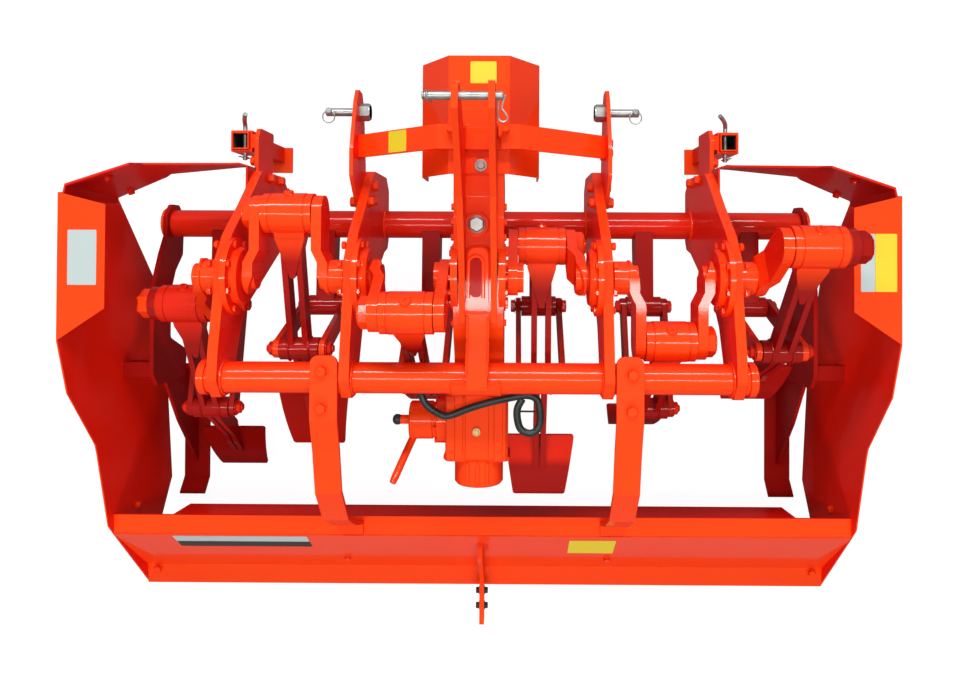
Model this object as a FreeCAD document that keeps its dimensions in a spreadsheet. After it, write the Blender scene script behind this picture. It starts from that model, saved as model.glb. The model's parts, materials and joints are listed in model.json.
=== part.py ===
import FreeCAD, Part
import math
import os
import Sketcher

# A three-point mounted spading machine: +X across the machine, +Y forward to the tractor,
# +Z up, origin on the ground under the middle of its bounding box. All sizes in millimetres.

VECTOR = FreeCAD.Vector
ALONG_X = FreeCAD.Rotation(VECTOR(0, 0, 1), VECTOR(1, 0, 0))
ALONG_Y = FreeCAD.Rotation(VECTOR(0, 0, 1), VECTOR(0, 1, 0))
SIDES = (("left", -1), ("right", 1))

document = FreeCAD.newDocument("SpadingMachine")
sheet = document.addObject("Spreadsheet::Sheet", "sizes")


class Size:
    """A number of millimetres together with the sheet expression that yields it."""

    def __init__(self, number, text):
        self.number = number
        self.text = text

    def joined(self, other, sign, result):
        return Size(result, "(%s %s %s)" % (self.text, sign, as_size(other).text))

    def __add__(self, other):
        return self.joined(other, "+", self.number + as_size(other).number)

    def __sub__(self, other):
        return self.joined(other, "-", self.number - as_size(other).number)

    def __mul__(self, other):
        return self.joined(other, "*", self.number * as_size(other).number)

    def __truediv__(self, other):
        return self.joined(other, "/", self.number / as_size(other).number)

    def __radd__(self, other):
        return as_size(other) + self

    def __rsub__(self, other):
        return as_size(other) - self

    def __rmul__(self, other):
        return as_size(other) * self

    def __neg__(self):
        return as_size(0) - self

    def __float__(self):
        return float(self.number)


def as_size(value):
    return value if isinstance(value, Size) else Size(value, repr(float(value)))


def size(name, number, note):
    """Write one driving dimension into the sheet and return it."""
    row = size.row = getattr(size, "row", 0) + 1
    sheet.set("A%d" % row, name)
    sheet.set("B%d" % row, str(number))
    sheet.set("C%d" % row, note)
    sheet.setAlias("B%d" % row, name)
    return Size(number, "sizes." + name)


# ---------------------------------------------------------------- driving dimensions
overall_length = size("overall_length", 1616, "front of the shaft guard to the end of the rear tab")
overall_width = size("overall_width", 2100, "over the side shields")
gearbox_top = size("gearbox_top", 690, "top of the gearbox casting above the ground")
guard_reach = size("guard_reach", 546, "crank axis to the front of the shaft guard")
weld_gap = size("weld_gap", 0.3, "play between pieces that are welded or bolted together")
pin_play = size("pin_play", 0.5, "radial play of a turning pin")
side_play = size("side_play", 1.5, "play at the side of a turning hub")

crank_height = size("crank_height", 646, "crank axis above the ground")
crank_throw = size("crank_throw", 159, "crank axis to crank pin")
journal_radius = size("journal_radius", 32, "crank journal")
crank_pin_radius = size("crank_pin_radius", 25, "crank pin")
web_thickness = size("web_thickness", 25, "crank web")
web_width = size("web_width", 90, "crank web")
web_offset = size("web_offset", 16, "sideways set of a crank web")
web_clear = size("web_clear", 7, "crank web to the face of a bearing")
collar_room = size("collar_room", 43, "outer face of a frame plate to the next crank web")
collar_radius = size("collar_radius", 42, "collar of the crank beside a frame plate")
nut_radius = size("nut_radius", 33, "nut at the end of a crank pin")

housing_radius = size("housing_radius", 51, "spade arm bearing housing")
housing_length = size("housing_length", 125, "length of the bearing housing")
arm_length = size("arm_length", 370, "crank pin to rocker pivot along the arm")
arm_bar = size("arm_bar", 15, "thickness of each arm bar")
arm_bar_depth = size("arm_bar_depth", 46, "depth of each arm bar")
arm_bar_pitch = size("arm_bar_pitch", 38, "middle to middle of the two arm bars")
hub_radius = size("hub_radius", 30, "hub at a rocker pivot")
hub_length = size("hub_length", 103, "hub at a rocker pivot")

blade_start = size("blade_start", 172, "rocker pivot to the top of the blade, along the arm")
blade_drop = size("blade_drop", 92, "rocker pivot to the top of the blade, square to the arm")
blade_length = size("blade_length", 180, "blade from its top to its tip")
blade_top = size("blade_top", 198, "width of the blade at its top")
blade_tip = size("blade_tip", 148, "width of the blade at its tip")
blade_thickness = size("blade_thickness", 8, "blade")
blade_bend = size("blade_bend", 400, "radius of the bent back of the blade")
blade_drop_angle = 7

rocker_length = size("rocker_length", 303, "lower pivot to upper pivot of a rocker")
rocker_bar = size("rocker_bar", 15, "thickness of each rocker bar")
rocker_depth = size("rocker_depth", 50, "depth of each rocker bar")
rocker_pin_radius = size("rocker_pin_radius", 15, "pin of a rocker")
rocker_pin_end = size("rocker_pin_end", 8, "end of a rocker pin outside the bar")
pivot_behind = size("pivot_behind", 100, "lower rocker pivot behind the crank axis")
pivot_height = size("pivot_height", 250, "lower rocker pivot above the ground")

plate_thickness = size("plate_thickness", 25, "frame plate")
bearing_radius = size("bearing_radius", 97, "crank bearing flange")
bearing_step = size("bearing_step", 74, "crank bearing cap")
bearing_seat = size("bearing_seat", 50, "crank bearing inside its frame plate")
bearing_back = size("bearing_back", 31, "crank bearing on the inner side of its plate")

front_tube_radius = size("front_tube_radius", 41, "front cross tube")
front_tube_ahead = size("front_tube_ahead", 145, "front cross tube ahead of the crank axis")
front_tube_height = size("front_tube_height", 230, "front cross tube above the ground")
rear_tube_radius = size("rear_tube_radius", 38, "rear cross tube")
rear_tube_height = size("rear_tube_height", 693, "rear cross tube above the ground")
rear_tube_half = size("rear_tube_half", 680, "middle of the machine to the rear tube's end")

hitch_width = size("hitch_width", 680, "over the outer faces of the lower hitch plates")
hitch_plate = size("hitch_plate", 10, "thickness of a lower hitch plate")
hitch_ahead = size("hitch_ahead", 440, "lower hitch pins ahead of the crank axis")
hitch_height = size("hitch_height", 502, "lower hitch pins above the ground")
hitch_pin_radius = size("hitch_pin_radius", 11, "lower hitch pin")
hitch_shank_radius = size("hitch_shank_radius", 14, "lower hitch pin inside its plate")
hitch_pin_length = size("hitch_pin_length", 84, "lower hitch pin outside its plate")
mast_height = size("mast_height", 460, "top link pin above the lower hitch pins")
mast_gap = size("mast_gap", 63, "between the mast plates")
mast_plate = size("mast_plate", 15, "mast plate")
mast_ahead = size("mast_ahead", 396, "top link pin ahead of the crank axis")
top_pin_radius = size("top_pin_radius", 9.5, "top link pin")

gearbox_half = size("gearbox_half", 62, "half the width of the gearbox")
gear_side = size("gear_side", 88, "middle of the machine to the left face of the gear housing")
guard_half = size("guard_half", 151, "half the width of the shaft guard")
guard_top_half = size("guard_top_half", 75, "half the flat top of the shaft guard")
guard_height = size("guard_height", 703, "top of the shaft guard above the ground")
shaft_height = size("shaft_height", 550, "input shaft above the ground")
shaft_radius = size("shaft_radius", 17.5, "input shaft")

sheet_thickness = size("sheet_thickness", 4, "shields and hoods")
shield_top = size("shield_top", 674, "top of the side shields")
flange_width = size("flange_width", 119, "top flange of a side shield")
end_thickness = size("end_thickness", 12, "end plate")
end_room = size("end_room", 31, "end of the crank to an end plate")
end_disc = size("end_disc", 25, "disc at the outer end of the crank")
end_nut = size("end_nut", 33, "nut at the outer end of the crank")
skid_width = size("skid_width", 82, "depth skid")
skid_sole = size("skid_sole", 8, "thickness of the sole of a skid")
bar_height = size("bar_height", 389, "top of the rear bar above the ground")
bar_behind = size("bar_behind", 688, "front edge of the rear bar behind the crank axis")
bar_width = size("bar_width", 52, "rear bar")
strap_width = size("strap_width", 66, "hood strap")
strap_thickness = size("strap_thickness", 10, "hood strap")
strap_middle = size("strap_middle", 368, "middle of the machine to a hood strap")

leg_size = size("leg_size", 50, "square tube of a parking leg")
leg_wall = size("leg_wall", 4, "wall of a parking leg")
leg_length = size("leg_length", 363, "height of a parking leg")
leg_room = size("leg_room", 72.8, "middle of an outer frame plate to its parking leg")
leg_ahead = size("leg_ahead", 382, "parking legs ahead of the crank axis")
leg_play = size("leg_play", 0.6, "play of a parking leg in its sleeve")
document.recompute()

crank_y = overall_length / 2 - guard_reach
hitch_half = hitch_width / 2
top_pin_height = hitch_height + mast_height
rear_tube_behind = crank_throw + housing_radius + rear_tube_radius - 2
pin_room = housing_length / 2 + side_play
half_throw = pin_room + web_thickness + web_offset
inner_plate = hitch_half - hitch_plate - weld_gap - plate_thickness / 2
first_throw = inner_plate - plate_thickness / 2 - bearing_back - web_clear - half_throw
throw_pitch = half_throw * 2 + bearing_back + web_clear + plate_thickness + collar_room
outer_plate = inner_plate + throw_pitch
leg_side = outer_plate + leg_room
throw_middles = [first_throw + throw_pitch * step for step in range(3)]
throw_positions = [-middle for middle in reversed(throw_middles)] + throw_middles
throw_angles = (240, 0, 120, 300, 180, 60)
end_plate = throw_middles[2] + pin_room + end_disc + end_nut + end_room


def at(ahead):
    """Distance along the machine of a place given ahead of the crank axis."""
    return crank_y + ahead


# ---------------------------------------------------------------- ways of making a piece
def new_body(label):
    body = document.addObject("PartDesign::Body", label)
    body.Label = label
    return body


def new_sketch(body, plane, offset=None):
    """A sketch on one of the body's own planes, moved along its normal by an offset."""
    sketch = body.newObject("Sketcher::SketchObject", body.Name + "_sketch")
    support = [face for face in body.Origin.OriginFeatures if face.Role == plane + "_Plane"][0]
    sketch.AttachmentSupport = [(support, "")]
    sketch.MapMode = "FlatFace"
    if offset is not None:
        sketch.setExpression("AttachmentOffset.Base.z", as_size(offset).text)
    return sketch


def pin_point(sketch, shape, end, place):
    """Hold one point of a sketch at a distance across and up from the sketch's origin."""
    for direction, value in zip(("DistanceX", "DistanceY"), place):
        value = as_size(value)
        index = sketch.addConstraint(
            Sketcher.Constraint(direction, -1, 1, shape, end, float(value)))
        sketch.setExpression("Constraints[%d]" % index, value.text)


def draw_outline(sketch, points):
    """A closed outline of straight lines through the points."""
    places = [VECTOR(float(across), float(up), 0) for across, up in points]
    first = sketch.GeometryCount
    count = len(points)
    for step in range(count):
        line = Part.LineSegment(places[step], places[(step + 1) % count])
        sketch.addGeometry(line, False)
    for step in range(count):
        sketch.addConstraint(Sketcher.Constraint(
            "Coincident", first + step, 2, first + (step + 1) % count, 1))
    for step in range(count):
        pin_point(sketch, first + step, 1, points[step])


def draw_circle(sketch, middle, radius):
    radius = as_size(radius)
    place = VECTOR(float(middle[0]), float(middle[1]), 0)
    shape = sketch.addGeometry(Part.Circle(place, VECTOR(0, 0, 1), float(radius)), False)
    pin_point(sketch, shape, 3, middle)
    index = sketch.addConstraint(Sketcher.Constraint("Radius", shape, float(radius)))
    sketch.setExpression("Constraints[%d]" % index, radius.text)


def pad(body, sketch, length, centred=False):
    feature = body.newObject("PartDesign::Pad", body.Name + "_pad")
    feature.Profile = sketch
    feature.setExpression("Length", as_size(length).text)
    feature.Midplane = centred
    sketch.Visibility = False
    return feature


def cut_through(body, sketch):
    feature = body.newObject("PartDesign::Pocket", body.Name + "_cut")
    feature.Profile = sketch
    feature.Type = "ThroughAll"
    feature.Midplane = True
    return feature


def round_edges(body, radius, chosen):
    """Round the edges of the body's last feature that the chosen test picks."""
    document.recompute()
    base = body.Tip
    names = ["Edge%d" % (step + 1) for step, edge in enumerate(base.Shape.Edges) if chosen(edge)]
    feature = body.newObject("PartDesign::Fillet", body.Name + "_round")
    feature.Base = (base, names)
    feature.setExpression("Radius", as_size(radius).text)
    return feature


def runs_along(axis, near=None, within=1.0):
    """A test for straight edges parallel to an axis, optionally near places in space."""
    def chosen(edge):
        if not isinstance(edge.Curve, Part.Line):
            return False
        if abs(edge.Curve.Direction.dot(axis)) < 0.999:
            return False
        middle = edge.CenterOfMass
        offset = [middle - place for place in near] if near else []
        flat = [(gap - axis * gap.dot(axis)).Length for gap in offset]
        return near is None or min(flat) < within
    return chosen


def plate(label, plane, offset, thickness, points, holes=(), rounding=None, centred=False):
    """A flat plate: an outline on a plane, thickened, with round holes and rounded corners."""
    body = new_body(label)
    sketch = new_sketch(body, plane, offset)
    draw_outline(sketch, points)
    for middle, radius in holes:
        draw_circle(sketch, middle, radius)
    pad(body, sketch, thickness, centred)
    if rounding is not None:
        normal = {"XY": VECTOR(0, 0, 1), "XZ": VECTOR(0, 1, 0), "YZ": VECTOR(1, 0, 0)}[plane]
        round_edges(body, rounding, runs_along(normal))
    return body


def turned(label, profile):
    """A turned piece: a profile of (along, radius) points spun about the X axis."""
    body = new_body(label)
    sketch = new_sketch(body, "XY")
    draw_outline(sketch, profile)
    feature = body.newObject("PartDesign::Revolution", body.Name + "_turn")
    feature.Profile = sketch
    feature.ReferenceAxis = (sketch, ["H_Axis"])
    feature.Angle = 360
    return body


def place(piece, across, along, up, rotation=None):
    """Put a piece at a place given by sizes, so that it follows the sheet."""
    if rotation is not None:
        piece.Placement = FreeCAD.Placement(VECTOR(0, 0, 0), rotation)
    for axis, value in zip("xyz", (across, along, up)):
        piece.setExpression("Placement.Base." + axis, as_size(value).text)
    return piece


def cylinder(label, radius, length, across, along, up, rotation=ALONG_X):
    piece = document.addObject("Part::Cylinder", label)
    piece.setExpression("Radius", as_size(radius).text)
    piece.setExpression("Height", as_size(length).text)
    return place(piece, across, along, up, rotation)


def box(label, width, depth, height, across, along, up):
    """A block with its lowest corner at a place."""
    piece = document.addObject("Part::Box", label)
    for name, value in zip(("Length", "Width", "Height"), (width, depth, height)):
        piece.setExpression(name, as_size(value).text)
    return place(piece, across, along, up)


def fuse(label, pieces):
    piece = document.addObject("Part::MultiFuse", label)
    piece.Shapes = pieces
    piece.Refine = True
    piece.Label = label
    return piece


def cut(label, base, tool):
    piece = document.addObject("Part::Cut", label)
    piece.Base = base
    piece.Tool = tool
    piece.Label = label
    return piece


def common(label, first, second):
    piece = document.addObject("Part::Common", label)
    piece.Base = first
    piece.Tool = second
    piece.Label = label
    return piece


def group(label, pieces):
    piece = document.addObject("Part::Compound", label)
    piece.Links = pieces
    piece.Label = label
    return piece


def start_of(side, inner, thickness):
    """Lower X of a plate that stands on one side with its inner face at a distance."""
    return inner if side > 0 else -(inner + thickness)


def set_off(points, distance):
    """A copy of a chain of points, moved to the left of its direction by a distance."""
    moved = []
    count = len(points)
    for step in range(count):
        before = points[max(step - 1, 0)]
        here = points[step]
        after = points[min(step + 1, count - 1)]
        first = (float(here[0]) - float(before[0]), float(here[1]) - float(before[1]))
        second = (float(after[0]) - float(here[0]), float(after[1]) - float(here[1]))
        normals = [(-run[1] / math.hypot(*run), run[0] / math.hypot(*run))
                   for run in (first, second) if math.hypot(*run) > 0]
        across = sum(normal[0] for normal in normals) / len(normals)
        up = sum(normal[1] for normal in normals) / len(normals)
        scale = 1 / (across ** 2 + up ** 2)
        moved.append((here[0] + distance * across * scale, here[1] + distance * up * scale))
    return moved


def strip(points, thickness):
    """The outline of a bent strip: a chain of points and its copy set off to the left."""
    return list(points) + set_off(points, thickness)[::-1]


def rounded_path(points, bend):
    """A wire of straight runs joined by tangent arcs."""
    places = [VECTOR(*[float(value) for value in point]) for point in points]
    edges = []
    start = places[0]
    for step in range(1, len(places) - 1):
        into = (places[step] - places[step - 1]).normalize()
        out = (places[step + 1] - places[step]).normalize()
        turn = into.getAngle(out)
        reach = float(bend) * math.tan(turn / 2)
        inward = (out - into).normalize()
        first = places[step] - into * reach
        last = places[step] + out * reach
        middle = places[step] + inward * (float(bend) * (1 / math.cos(turn / 2) - 1))
        edges.append(Part.LineSegment(start, first).toShape())
        edges.append(Part.Arc(first, middle, last).toShape())
        start = last
    edges.append(Part.LineSegment(start, places[-1]).toShape())
    return Part.Wire(edges)


def bent_rod(label, points, radius, bend):
    """A round rod along a bent path."""
    path = rounded_path(points, bend)
    first = path.Edges[0]
    direction = first.tangentAt(first.FirstParameter)
    ring = Part.Wire(Part.makeCircle(float(radius), first.valueAt(first.FirstParameter), direction))
    piece = document.addObject("Part::Feature", label)
    piece.Shape = path.makePipeShell([ring], True, False)
    return piece


# ---------------------------------------------------------------- frame
def frame_plates():
    """Four thick plates of one outline, each round both cross tubes and a crank bearing."""
    low = front_tube_height - front_tube_radius - 17
    back = at(-rear_tube_behind) - rear_tube_radius - 9
    outline = [(at(184), crank_height - 96), (at(105), crank_height + 10),
               (at(42), crank_height + 60), (at(-54), crank_height + 70),
               (at(-175), crank_height + 98), (at(-rear_tube_behind), rear_tube_height + 60),
               (back, rear_tube_height + 24), (back, rear_tube_height - 34),
               (at(-130), crank_height - 66), (at(-75), crank_height - 120),
               (at(60), front_tube_height + 20), (at(72), low + 20), (at(100), low),
               (at(250), low), (at(288), low + 48), (at(288), crank_height - 226),
               (at(270), crank_height - 200)]
    holes = [((at(0), crank_height), bearing_seat),
             ((at(front_tube_ahead), front_tube_height), front_tube_radius + weld_gap),
             ((at(-rear_tube_behind), rear_tube_height), rear_tube_radius + weld_gap)]
    pieces = []
    for name, side in SIDES:
        for spot, middle in (("inner", inner_plate), ("outer", outer_plate)):
            start = start_of(side, middle - plate_thickness / 2, plate_thickness)
            pieces.append(plate("%s_%s_frame_plate" % (name, spot), "YZ", start, plate_thickness,
                                outline, holes, 16))
    return pieces


def crank_bearings():
    """Stepped flanged bearings, one in each frame plate, on the side of the machine's middle."""
    bore = journal_radius + pin_play
    half = plate_thickness / 2
    flange = half + 14
    profile = [(-half - bearing_back, bore), (-half - bearing_back, bearing_step - 6),
               (-half - bearing_back + 8, bearing_step), (-flange, bearing_step),
               (-flange, bearing_radius), (-half - weld_gap, bearing_radius),
               (-half - weld_gap, bearing_seat - weld_gap), (half, bearing_seat - weld_gap),
               (half, bore)]
    pieces = []
    for name, side in SIDES:
        for spot, middle in (("inner", inner_plate), ("outer", outer_plate)):
            piece = turned("%s_%s_bearing" % (name, spot), profile)
            turn = FreeCAD.Rotation(VECTOR(0, 0, 1), 180 if side < 0 else 0)
            pieces.append(place(piece, side * middle, crank_y, crank_height, turn))
    return group("crank_bearings", pieces)


def front_tube():
    half = end_plate + end_thickness + 14
    return cylinder("front_tube", front_tube_radius, half * 2, -half, at(front_tube_ahead),
                    front_tube_height)


def rear_tube():
    """A closed tube with a cap ring near each end."""
    half, radius, ring, ring_length = rear_tube_half, rear_tube_radius, rear_tube_radius + 5, 16
    inner = half - 12 - ring_length / 2
    outer = inner + ring_length
    profile = [(-half, 0), (-half, radius), (-outer, radius), (-outer, ring), (-inner, ring),
               (-inner, radius), (inner, radius), (inner, ring), (outer, ring), (outer, radius),
               (half, radius), (half, 0)]
    return place(turned("rear_tube", profile), 0, at(-rear_tube_behind), rear_tube_height)


def rocker_brackets():
    """Arms from the front tube back to the lower pivot of each rocker."""
    tube = (at(front_tube_ahead), front_tube_height)
    pivot = (at(-pivot_behind), pivot_height)
    saddle = 36
    outline = [(tube[0] - 10, tube[1] + saddle), (pivot[0], pivot[1] + 26),
               (pivot[0], pivot[1] - 26), (tube[0] - 10, tube[1] - saddle)]
    pieces = []
    for step, middle in enumerate(throw_positions):
        name = "rocker_bracket_%d" % (step + 1)
        arm = plate(name + "_arm", "YZ", middle - 27, 54, outline)
        boss = cylinder(name + "_boss", hub_radius, hub_length, middle - hub_length / 2, *pivot)
        solid = fuse(name + "_solid", [arm, boss])
        bore = cylinder(name + "_bore", rocker_pin_radius + pin_play, hub_length * 2,
                        middle - hub_length, *pivot)
        seat = cylinder(name + "_seat", front_tube_radius + weld_gap, 100, middle - 50, *tube)
        pieces.append(cut(name, solid, group(name + "_holes", [bore, seat])))
    return group("rocker_brackets", pieces)


# ---------------------------------------------------------------- hitch
def hitch_plates():
    outline = [(at(180), hitch_height + 10), (at(190), hitch_height - 80),
               (at(300), hitch_height - 80), (at(hitch_ahead + 20), hitch_height - 48),
               (at(hitch_ahead + 55), hitch_height - 24), (at(hitch_ahead + 58), hitch_height + 24),
               (at(hitch_ahead + 22), hitch_height + 50), (at(330), hitch_height + 98),
               (at(260), hitch_height + 98)]
    hole = ((at(hitch_ahead), hitch_height), hitch_shank_radius + weld_gap)
    start = hitch_half - hitch_plate
    return [plate(name + "_hitch_plate", "YZ", start_of(side, start, hitch_plate),
                  hitch_plate, outline, [hole], 16) for name, side in SIDES]


def lower_hitch_pins():
    """Stepped pins: a head inside the plate, a shank in it and the pin itself outside."""
    inner = hitch_plate + weld_gap
    head, head_radius, edge = 27, 21, 3
    profile = [(-inner - head, 0), (-inner - head, head_radius), (-inner, head_radius),
               (-inner, hitch_shank_radius), (0, hitch_shank_radius), (0, hitch_pin_radius),
               (hitch_pin_length - edge, hitch_pin_radius),
               (hitch_pin_length, hitch_pin_radius - edge), (hitch_pin_length, 0)]
    pieces = []
    for name, side in SIDES:
        piece = turned(name + "_lower_pin", profile)
        turn = FreeCAD.Rotation(VECTOR(0, 0, 1), 180 if side < 0 else 0)
        pieces.append(place(piece, side * hitch_half, at(hitch_ahead), hitch_height, turn))
    return group("lower_hitch_pins", pieces)


def mast():
    """Two plates that fall from the top link to the gearbox, with a foot and a neck."""
    foot_height = guard_height + 6
    seat = gearbox_top + weld_gap
    tube_top = rear_tube_height + rear_tube_radius + weld_gap
    half_gap = mast_gap / 2
    outline = [(at(mast_ahead - 30), top_pin_height + 28),
               (at(mast_ahead + 31), top_pin_height + 18),
               (at(mast_ahead + 31), top_pin_height - 40), (at(354), foot_height + 80),
               (at(374), foot_height), (at(215), foot_height), (at(140), seat),
               (at(-112), seat), (at(-112), seat + 14), (at(-10), seat + 26), (at(70), seat + 66),
               (at(190), seat + 136)]
    hole = ((at(mast_ahead), top_pin_height), top_pin_radius + weld_gap)
    plates = [plate(name + "_mast_plate", "YZ", start_of(side, half_gap, mast_plate),
                    mast_plate, outline, [hole], 5) for name, side in SIDES]
    foot_half = half_gap + mast_plate + 50
    foot = box("mast_foot", foot_half * 2, 60, 12, -foot_half, at(313), foot_height)
    pad_half = half_gap + 2
    rest = box("mast_rest", pad_half * 2, 45, 10, -pad_half, at(-105), seat)
    tube = at(-rear_tube_behind)
    neck = plate("mast_neck", "YZ", -25, 50,
                 [(at(40), seat), (at(40), seat + 20), (tube + 96, seat + 20),
                  (tube + 41, tube_top + 16), (tube - 20, tube_top + 16), (tube - 20, tube_top),
                  (tube + 32, tube_top), (tube + 56, seat)])
    return fuse("mast", plates + [foot, rest, neck])


def top_link_pin():
    rod = cylinder("top_link_rod", top_pin_radius, 165, -105, at(mast_ahead), top_pin_height)
    handle = cylinder("top_link_handle", 6, 60, -99, at(mast_ahead), top_pin_height - 56,
                      FreeCAD.Rotation())
    return fuse("top_link_pin", [rod, handle])


def hitch_braces():
    """Bent flat bars from the mast foot out to the hitch plates."""
    top = guard_height + 18 + weld_gap
    outer = hitch_half - hitch_plate - weld_gap
    pieces = []
    for name, side in SIDES:
        chain = [(side * outer, hitch_height - 8), (side * outer, hitch_height + 38),
                 (side * 100, top + 10), (side * 54, top + 10)]
        profile = strip(chain, side * 10)
        pieces.append(plate(name + "_brace", "XZ", -at(343), 60, profile, centred=True))
    return group("hitch_braces", pieces)


# ---------------------------------------------------------------- drive
def gearbox():
    under_guard = guard_height - sheet_thickness - weld_gap
    outline = [(at(285), guard_height - 113), (at(285), under_guard - 18), (at(268), under_guard),
               (at(200), under_guard), (at(150), gearbox_top), (at(-120), gearbox_top),
               (at(-190), 640), (at(-300), 600), (at(-300), 430), (at(-150), 430), (at(-60), 480),
               (at(60), 480), (at(150), 430), (at(250), 470)]
    casting = plate("gearbox_casting", "YZ", -gearbox_half, gearbox_half * 2, outline, rounding=14)
    ring_radius, ring_depth, ring_stand = 84, 17, 5
    rings = [cylinder(name + "_gearbox_ring", ring_radius, ring_depth,
                      start_of(side, gearbox_half + ring_stand - ring_depth, ring_depth),
                      crank_y, crank_height) for name, side in SIDES]
    nose = cylinder("gearbox_nose", 48, 90, 0, at(200), shaft_height, ALONG_Y)
    solid = fuse("gearbox_solid", [casting, nose] + rings)
    crank_bore = cylinder("gearbox_crank_bore", journal_radius + pin_play, 200, -100, crank_y,
                          crank_height)
    shaft_bore = cylinder("gearbox_shaft_bore", shaft_radius + 5 + pin_play, 160, 0, at(180),
                          shaft_height, ALONG_Y)
    return cut("gearbox", solid, group("gearbox_bores", [crank_bore, shaft_bore]))


def input_shaft():
    profile = [(0, 0), (0, shaft_radius + 5), (112, shaft_radius + 5), (118, shaft_radius),
               (196, shaft_radius), (200, shaft_radius - 4), (200, 0)]
    shaft = turned("pto_input_shaft", profile)
    turn = FreeCAD.Rotation(VECTOR(0, 0, 1), 90)
    return place(shaft, 0, at(182), shaft_height, turn)


def shaft_guard():
    knee, hem = guard_height - 105, guard_height - 225
    chain = [(guard_half, hem), (guard_half, knee), (guard_top_half, guard_height),
             (-guard_top_half, guard_height), (-guard_half, knee), (-guard_half, hem)]
    length = guard_reach - 255
    return plate("shaft_guard", "XZ", -at(guard_reach), length, strip(chain, sheet_thickness))


def gear_housing():
    front = at(-300) - weld_gap
    case = plate("gear_case", "YZ", -gear_side, 162,
                 [(front, 478), (front, 598), (at(-480), 586), (at(-500), 564), (at(-500), 486)],
                 rounding=10)
    across, up, reach = -3, 530, 65
    boss = cylinder("gear_boss", 64, reach, across, at(-500 - reach), up, ALONG_Y)
    nub = cylinder("gear_nub", 14, 14, across, at(-514 - reach), up, ALONG_Y)
    return fuse("gear_housing", [case, boss, nub])


def selector_housing():
    """A boss on a flange, bolted to the side of the gear housing near its top."""
    side = -gear_side - weld_gap
    flange = cylinder("selector_flange", 34, 14, side - 14, at(-385), 520)
    neck = cylinder("selector_neck", 24, 96, side - 110, at(-385), 520)
    return fuse("selector_housing", [flange, neck])


def gear_lever():
    points = [(-150, at(-409.6), 520), (-150, at(-440), 520), (-200, at(-560), 610)]
    return bent_rod("gear_lever", points, 10, 30)


def shaft_holder_hook():
    height = rear_tube_height - 60
    points = [(-140, at(-rear_tube_behind), rear_tube_height - rear_tube_radius - 9.8),
              (-120, at(-320), height),
              (-40, at(-345), height), (140, at(-322), height), (160, at(-405), height - 10),
              (95, at(-400), height - 10)]
    return bent_rod("shaft_holder_hook", points, 9.5, 22)


# ---------------------------------------------------------------- shields
def side_shields():
    inner = overall_width / 2 - sheet_thickness
    outline = [(at(208), shield_top), (at(218), 390), (at(-15), 166), (at(-329), 56),
               (at(-688), 9), (at(-790), 78), (at(-969), 164), (at(-747), 383), (at(-712), 416),
               (at(-492), 480), (at(-465), 490), (at(-301), 627), (at(-162), shield_top)]
    pieces = []
    for name, side in SIDES:
        body = plate(name + "_side_shield", "YZ", start_of(side, inner, sheet_thickness),
                     sheet_thickness, outline)
        edge = inner + sheet_thickness
        flange = new_sketch(body, "XY", shield_top - sheet_thickness)
        draw_outline(flange, [(side * edge, at(208)), (side * (edge - flange_width), at(178)),
                              (side * (edge - flange_width), at(-81)), (side * edge, at(-162))])
        pad(body, flange, sheet_thickness)
        pieces.append(body)
    return pieces


def front_stays():
    """Bent plates from the front edge of each shield to a flange on the outer frame plate."""
    edge = overall_width / 2 - sheet_thickness - weld_gap
    inner = outer_plate + plate_thickness / 2 + weld_gap
    top = shield_top - 8
    pieces = []
    for name, side in SIDES:
        chain = [(side * inner, at(226)), (side * inner, at(298)), (side * (inner + 24), at(306)),
                 (side * 962, at(300)), (side * (edge - 6), at(222)), (side * edge, at(196))]
        body = new_body(name + "_front_stay")
        plan = new_sketch(body, "XY", 396)
        draw_outline(plan, strip(chain if side < 0 else chain[::-1], 6))
        pad(body, plan, top - 396)
        taper = new_sketch(body, "XZ")
        draw_outline(taper, [(side * 600, 800), (side * 600, 470), (side * 690, 470),
                             (side * 880, 590), (side * 900, top), (side * 900, 800)])
        draw_outline(taper, [(side * 600, 300), (side * 960, 300), (side * 960, 402),
                             (side * 880, 425), (side * 600, 399)])
        cut_through(body, taper)
        pieces.append(body)
    return pieces


def end_plates():
    """Arms at the ends of the front tube, each with a spacer that carries a side shield."""
    shield = overall_width / 2 - sheet_thickness - weld_gap
    ring = front_tube_radius + 16
    middle = front_tube_height
    tube = at(front_tube_ahead)
    outline = [(tube + ring, middle + 24), (tube + 24, middle + ring), (at(110), middle + ring),
               (at(54), 322), (at(-45), 370), (at(-290), 370),
               (at(-330), 340), (at(-330), 150), (at(-250), 140), (at(-200), 258), (at(-60), 258),
               (at(2), 226), (at(50), 176), (at(100), middle - ring),
               (tube + 24, middle - ring), (tube + ring, middle - 24)]
    hole = ((tube, middle), front_tube_radius + weld_gap)
    outside = end_plate + end_thickness
    reach = shield - outside + 2
    pieces = []
    for name, side in SIDES:
        start = start_of(side, end_plate, end_thickness)
        body = plate(name + "_end_sheet", "YZ", start, end_thickness, outline, [hole], 14)
        spacer = box(name + "_spacer", reach, 44, 40, start_of(side, outside - 2, reach),
                     at(-306), 304)
        pieces.append(fuse(name + "_end_plate", [body, spacer]))
    return pieces


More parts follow.
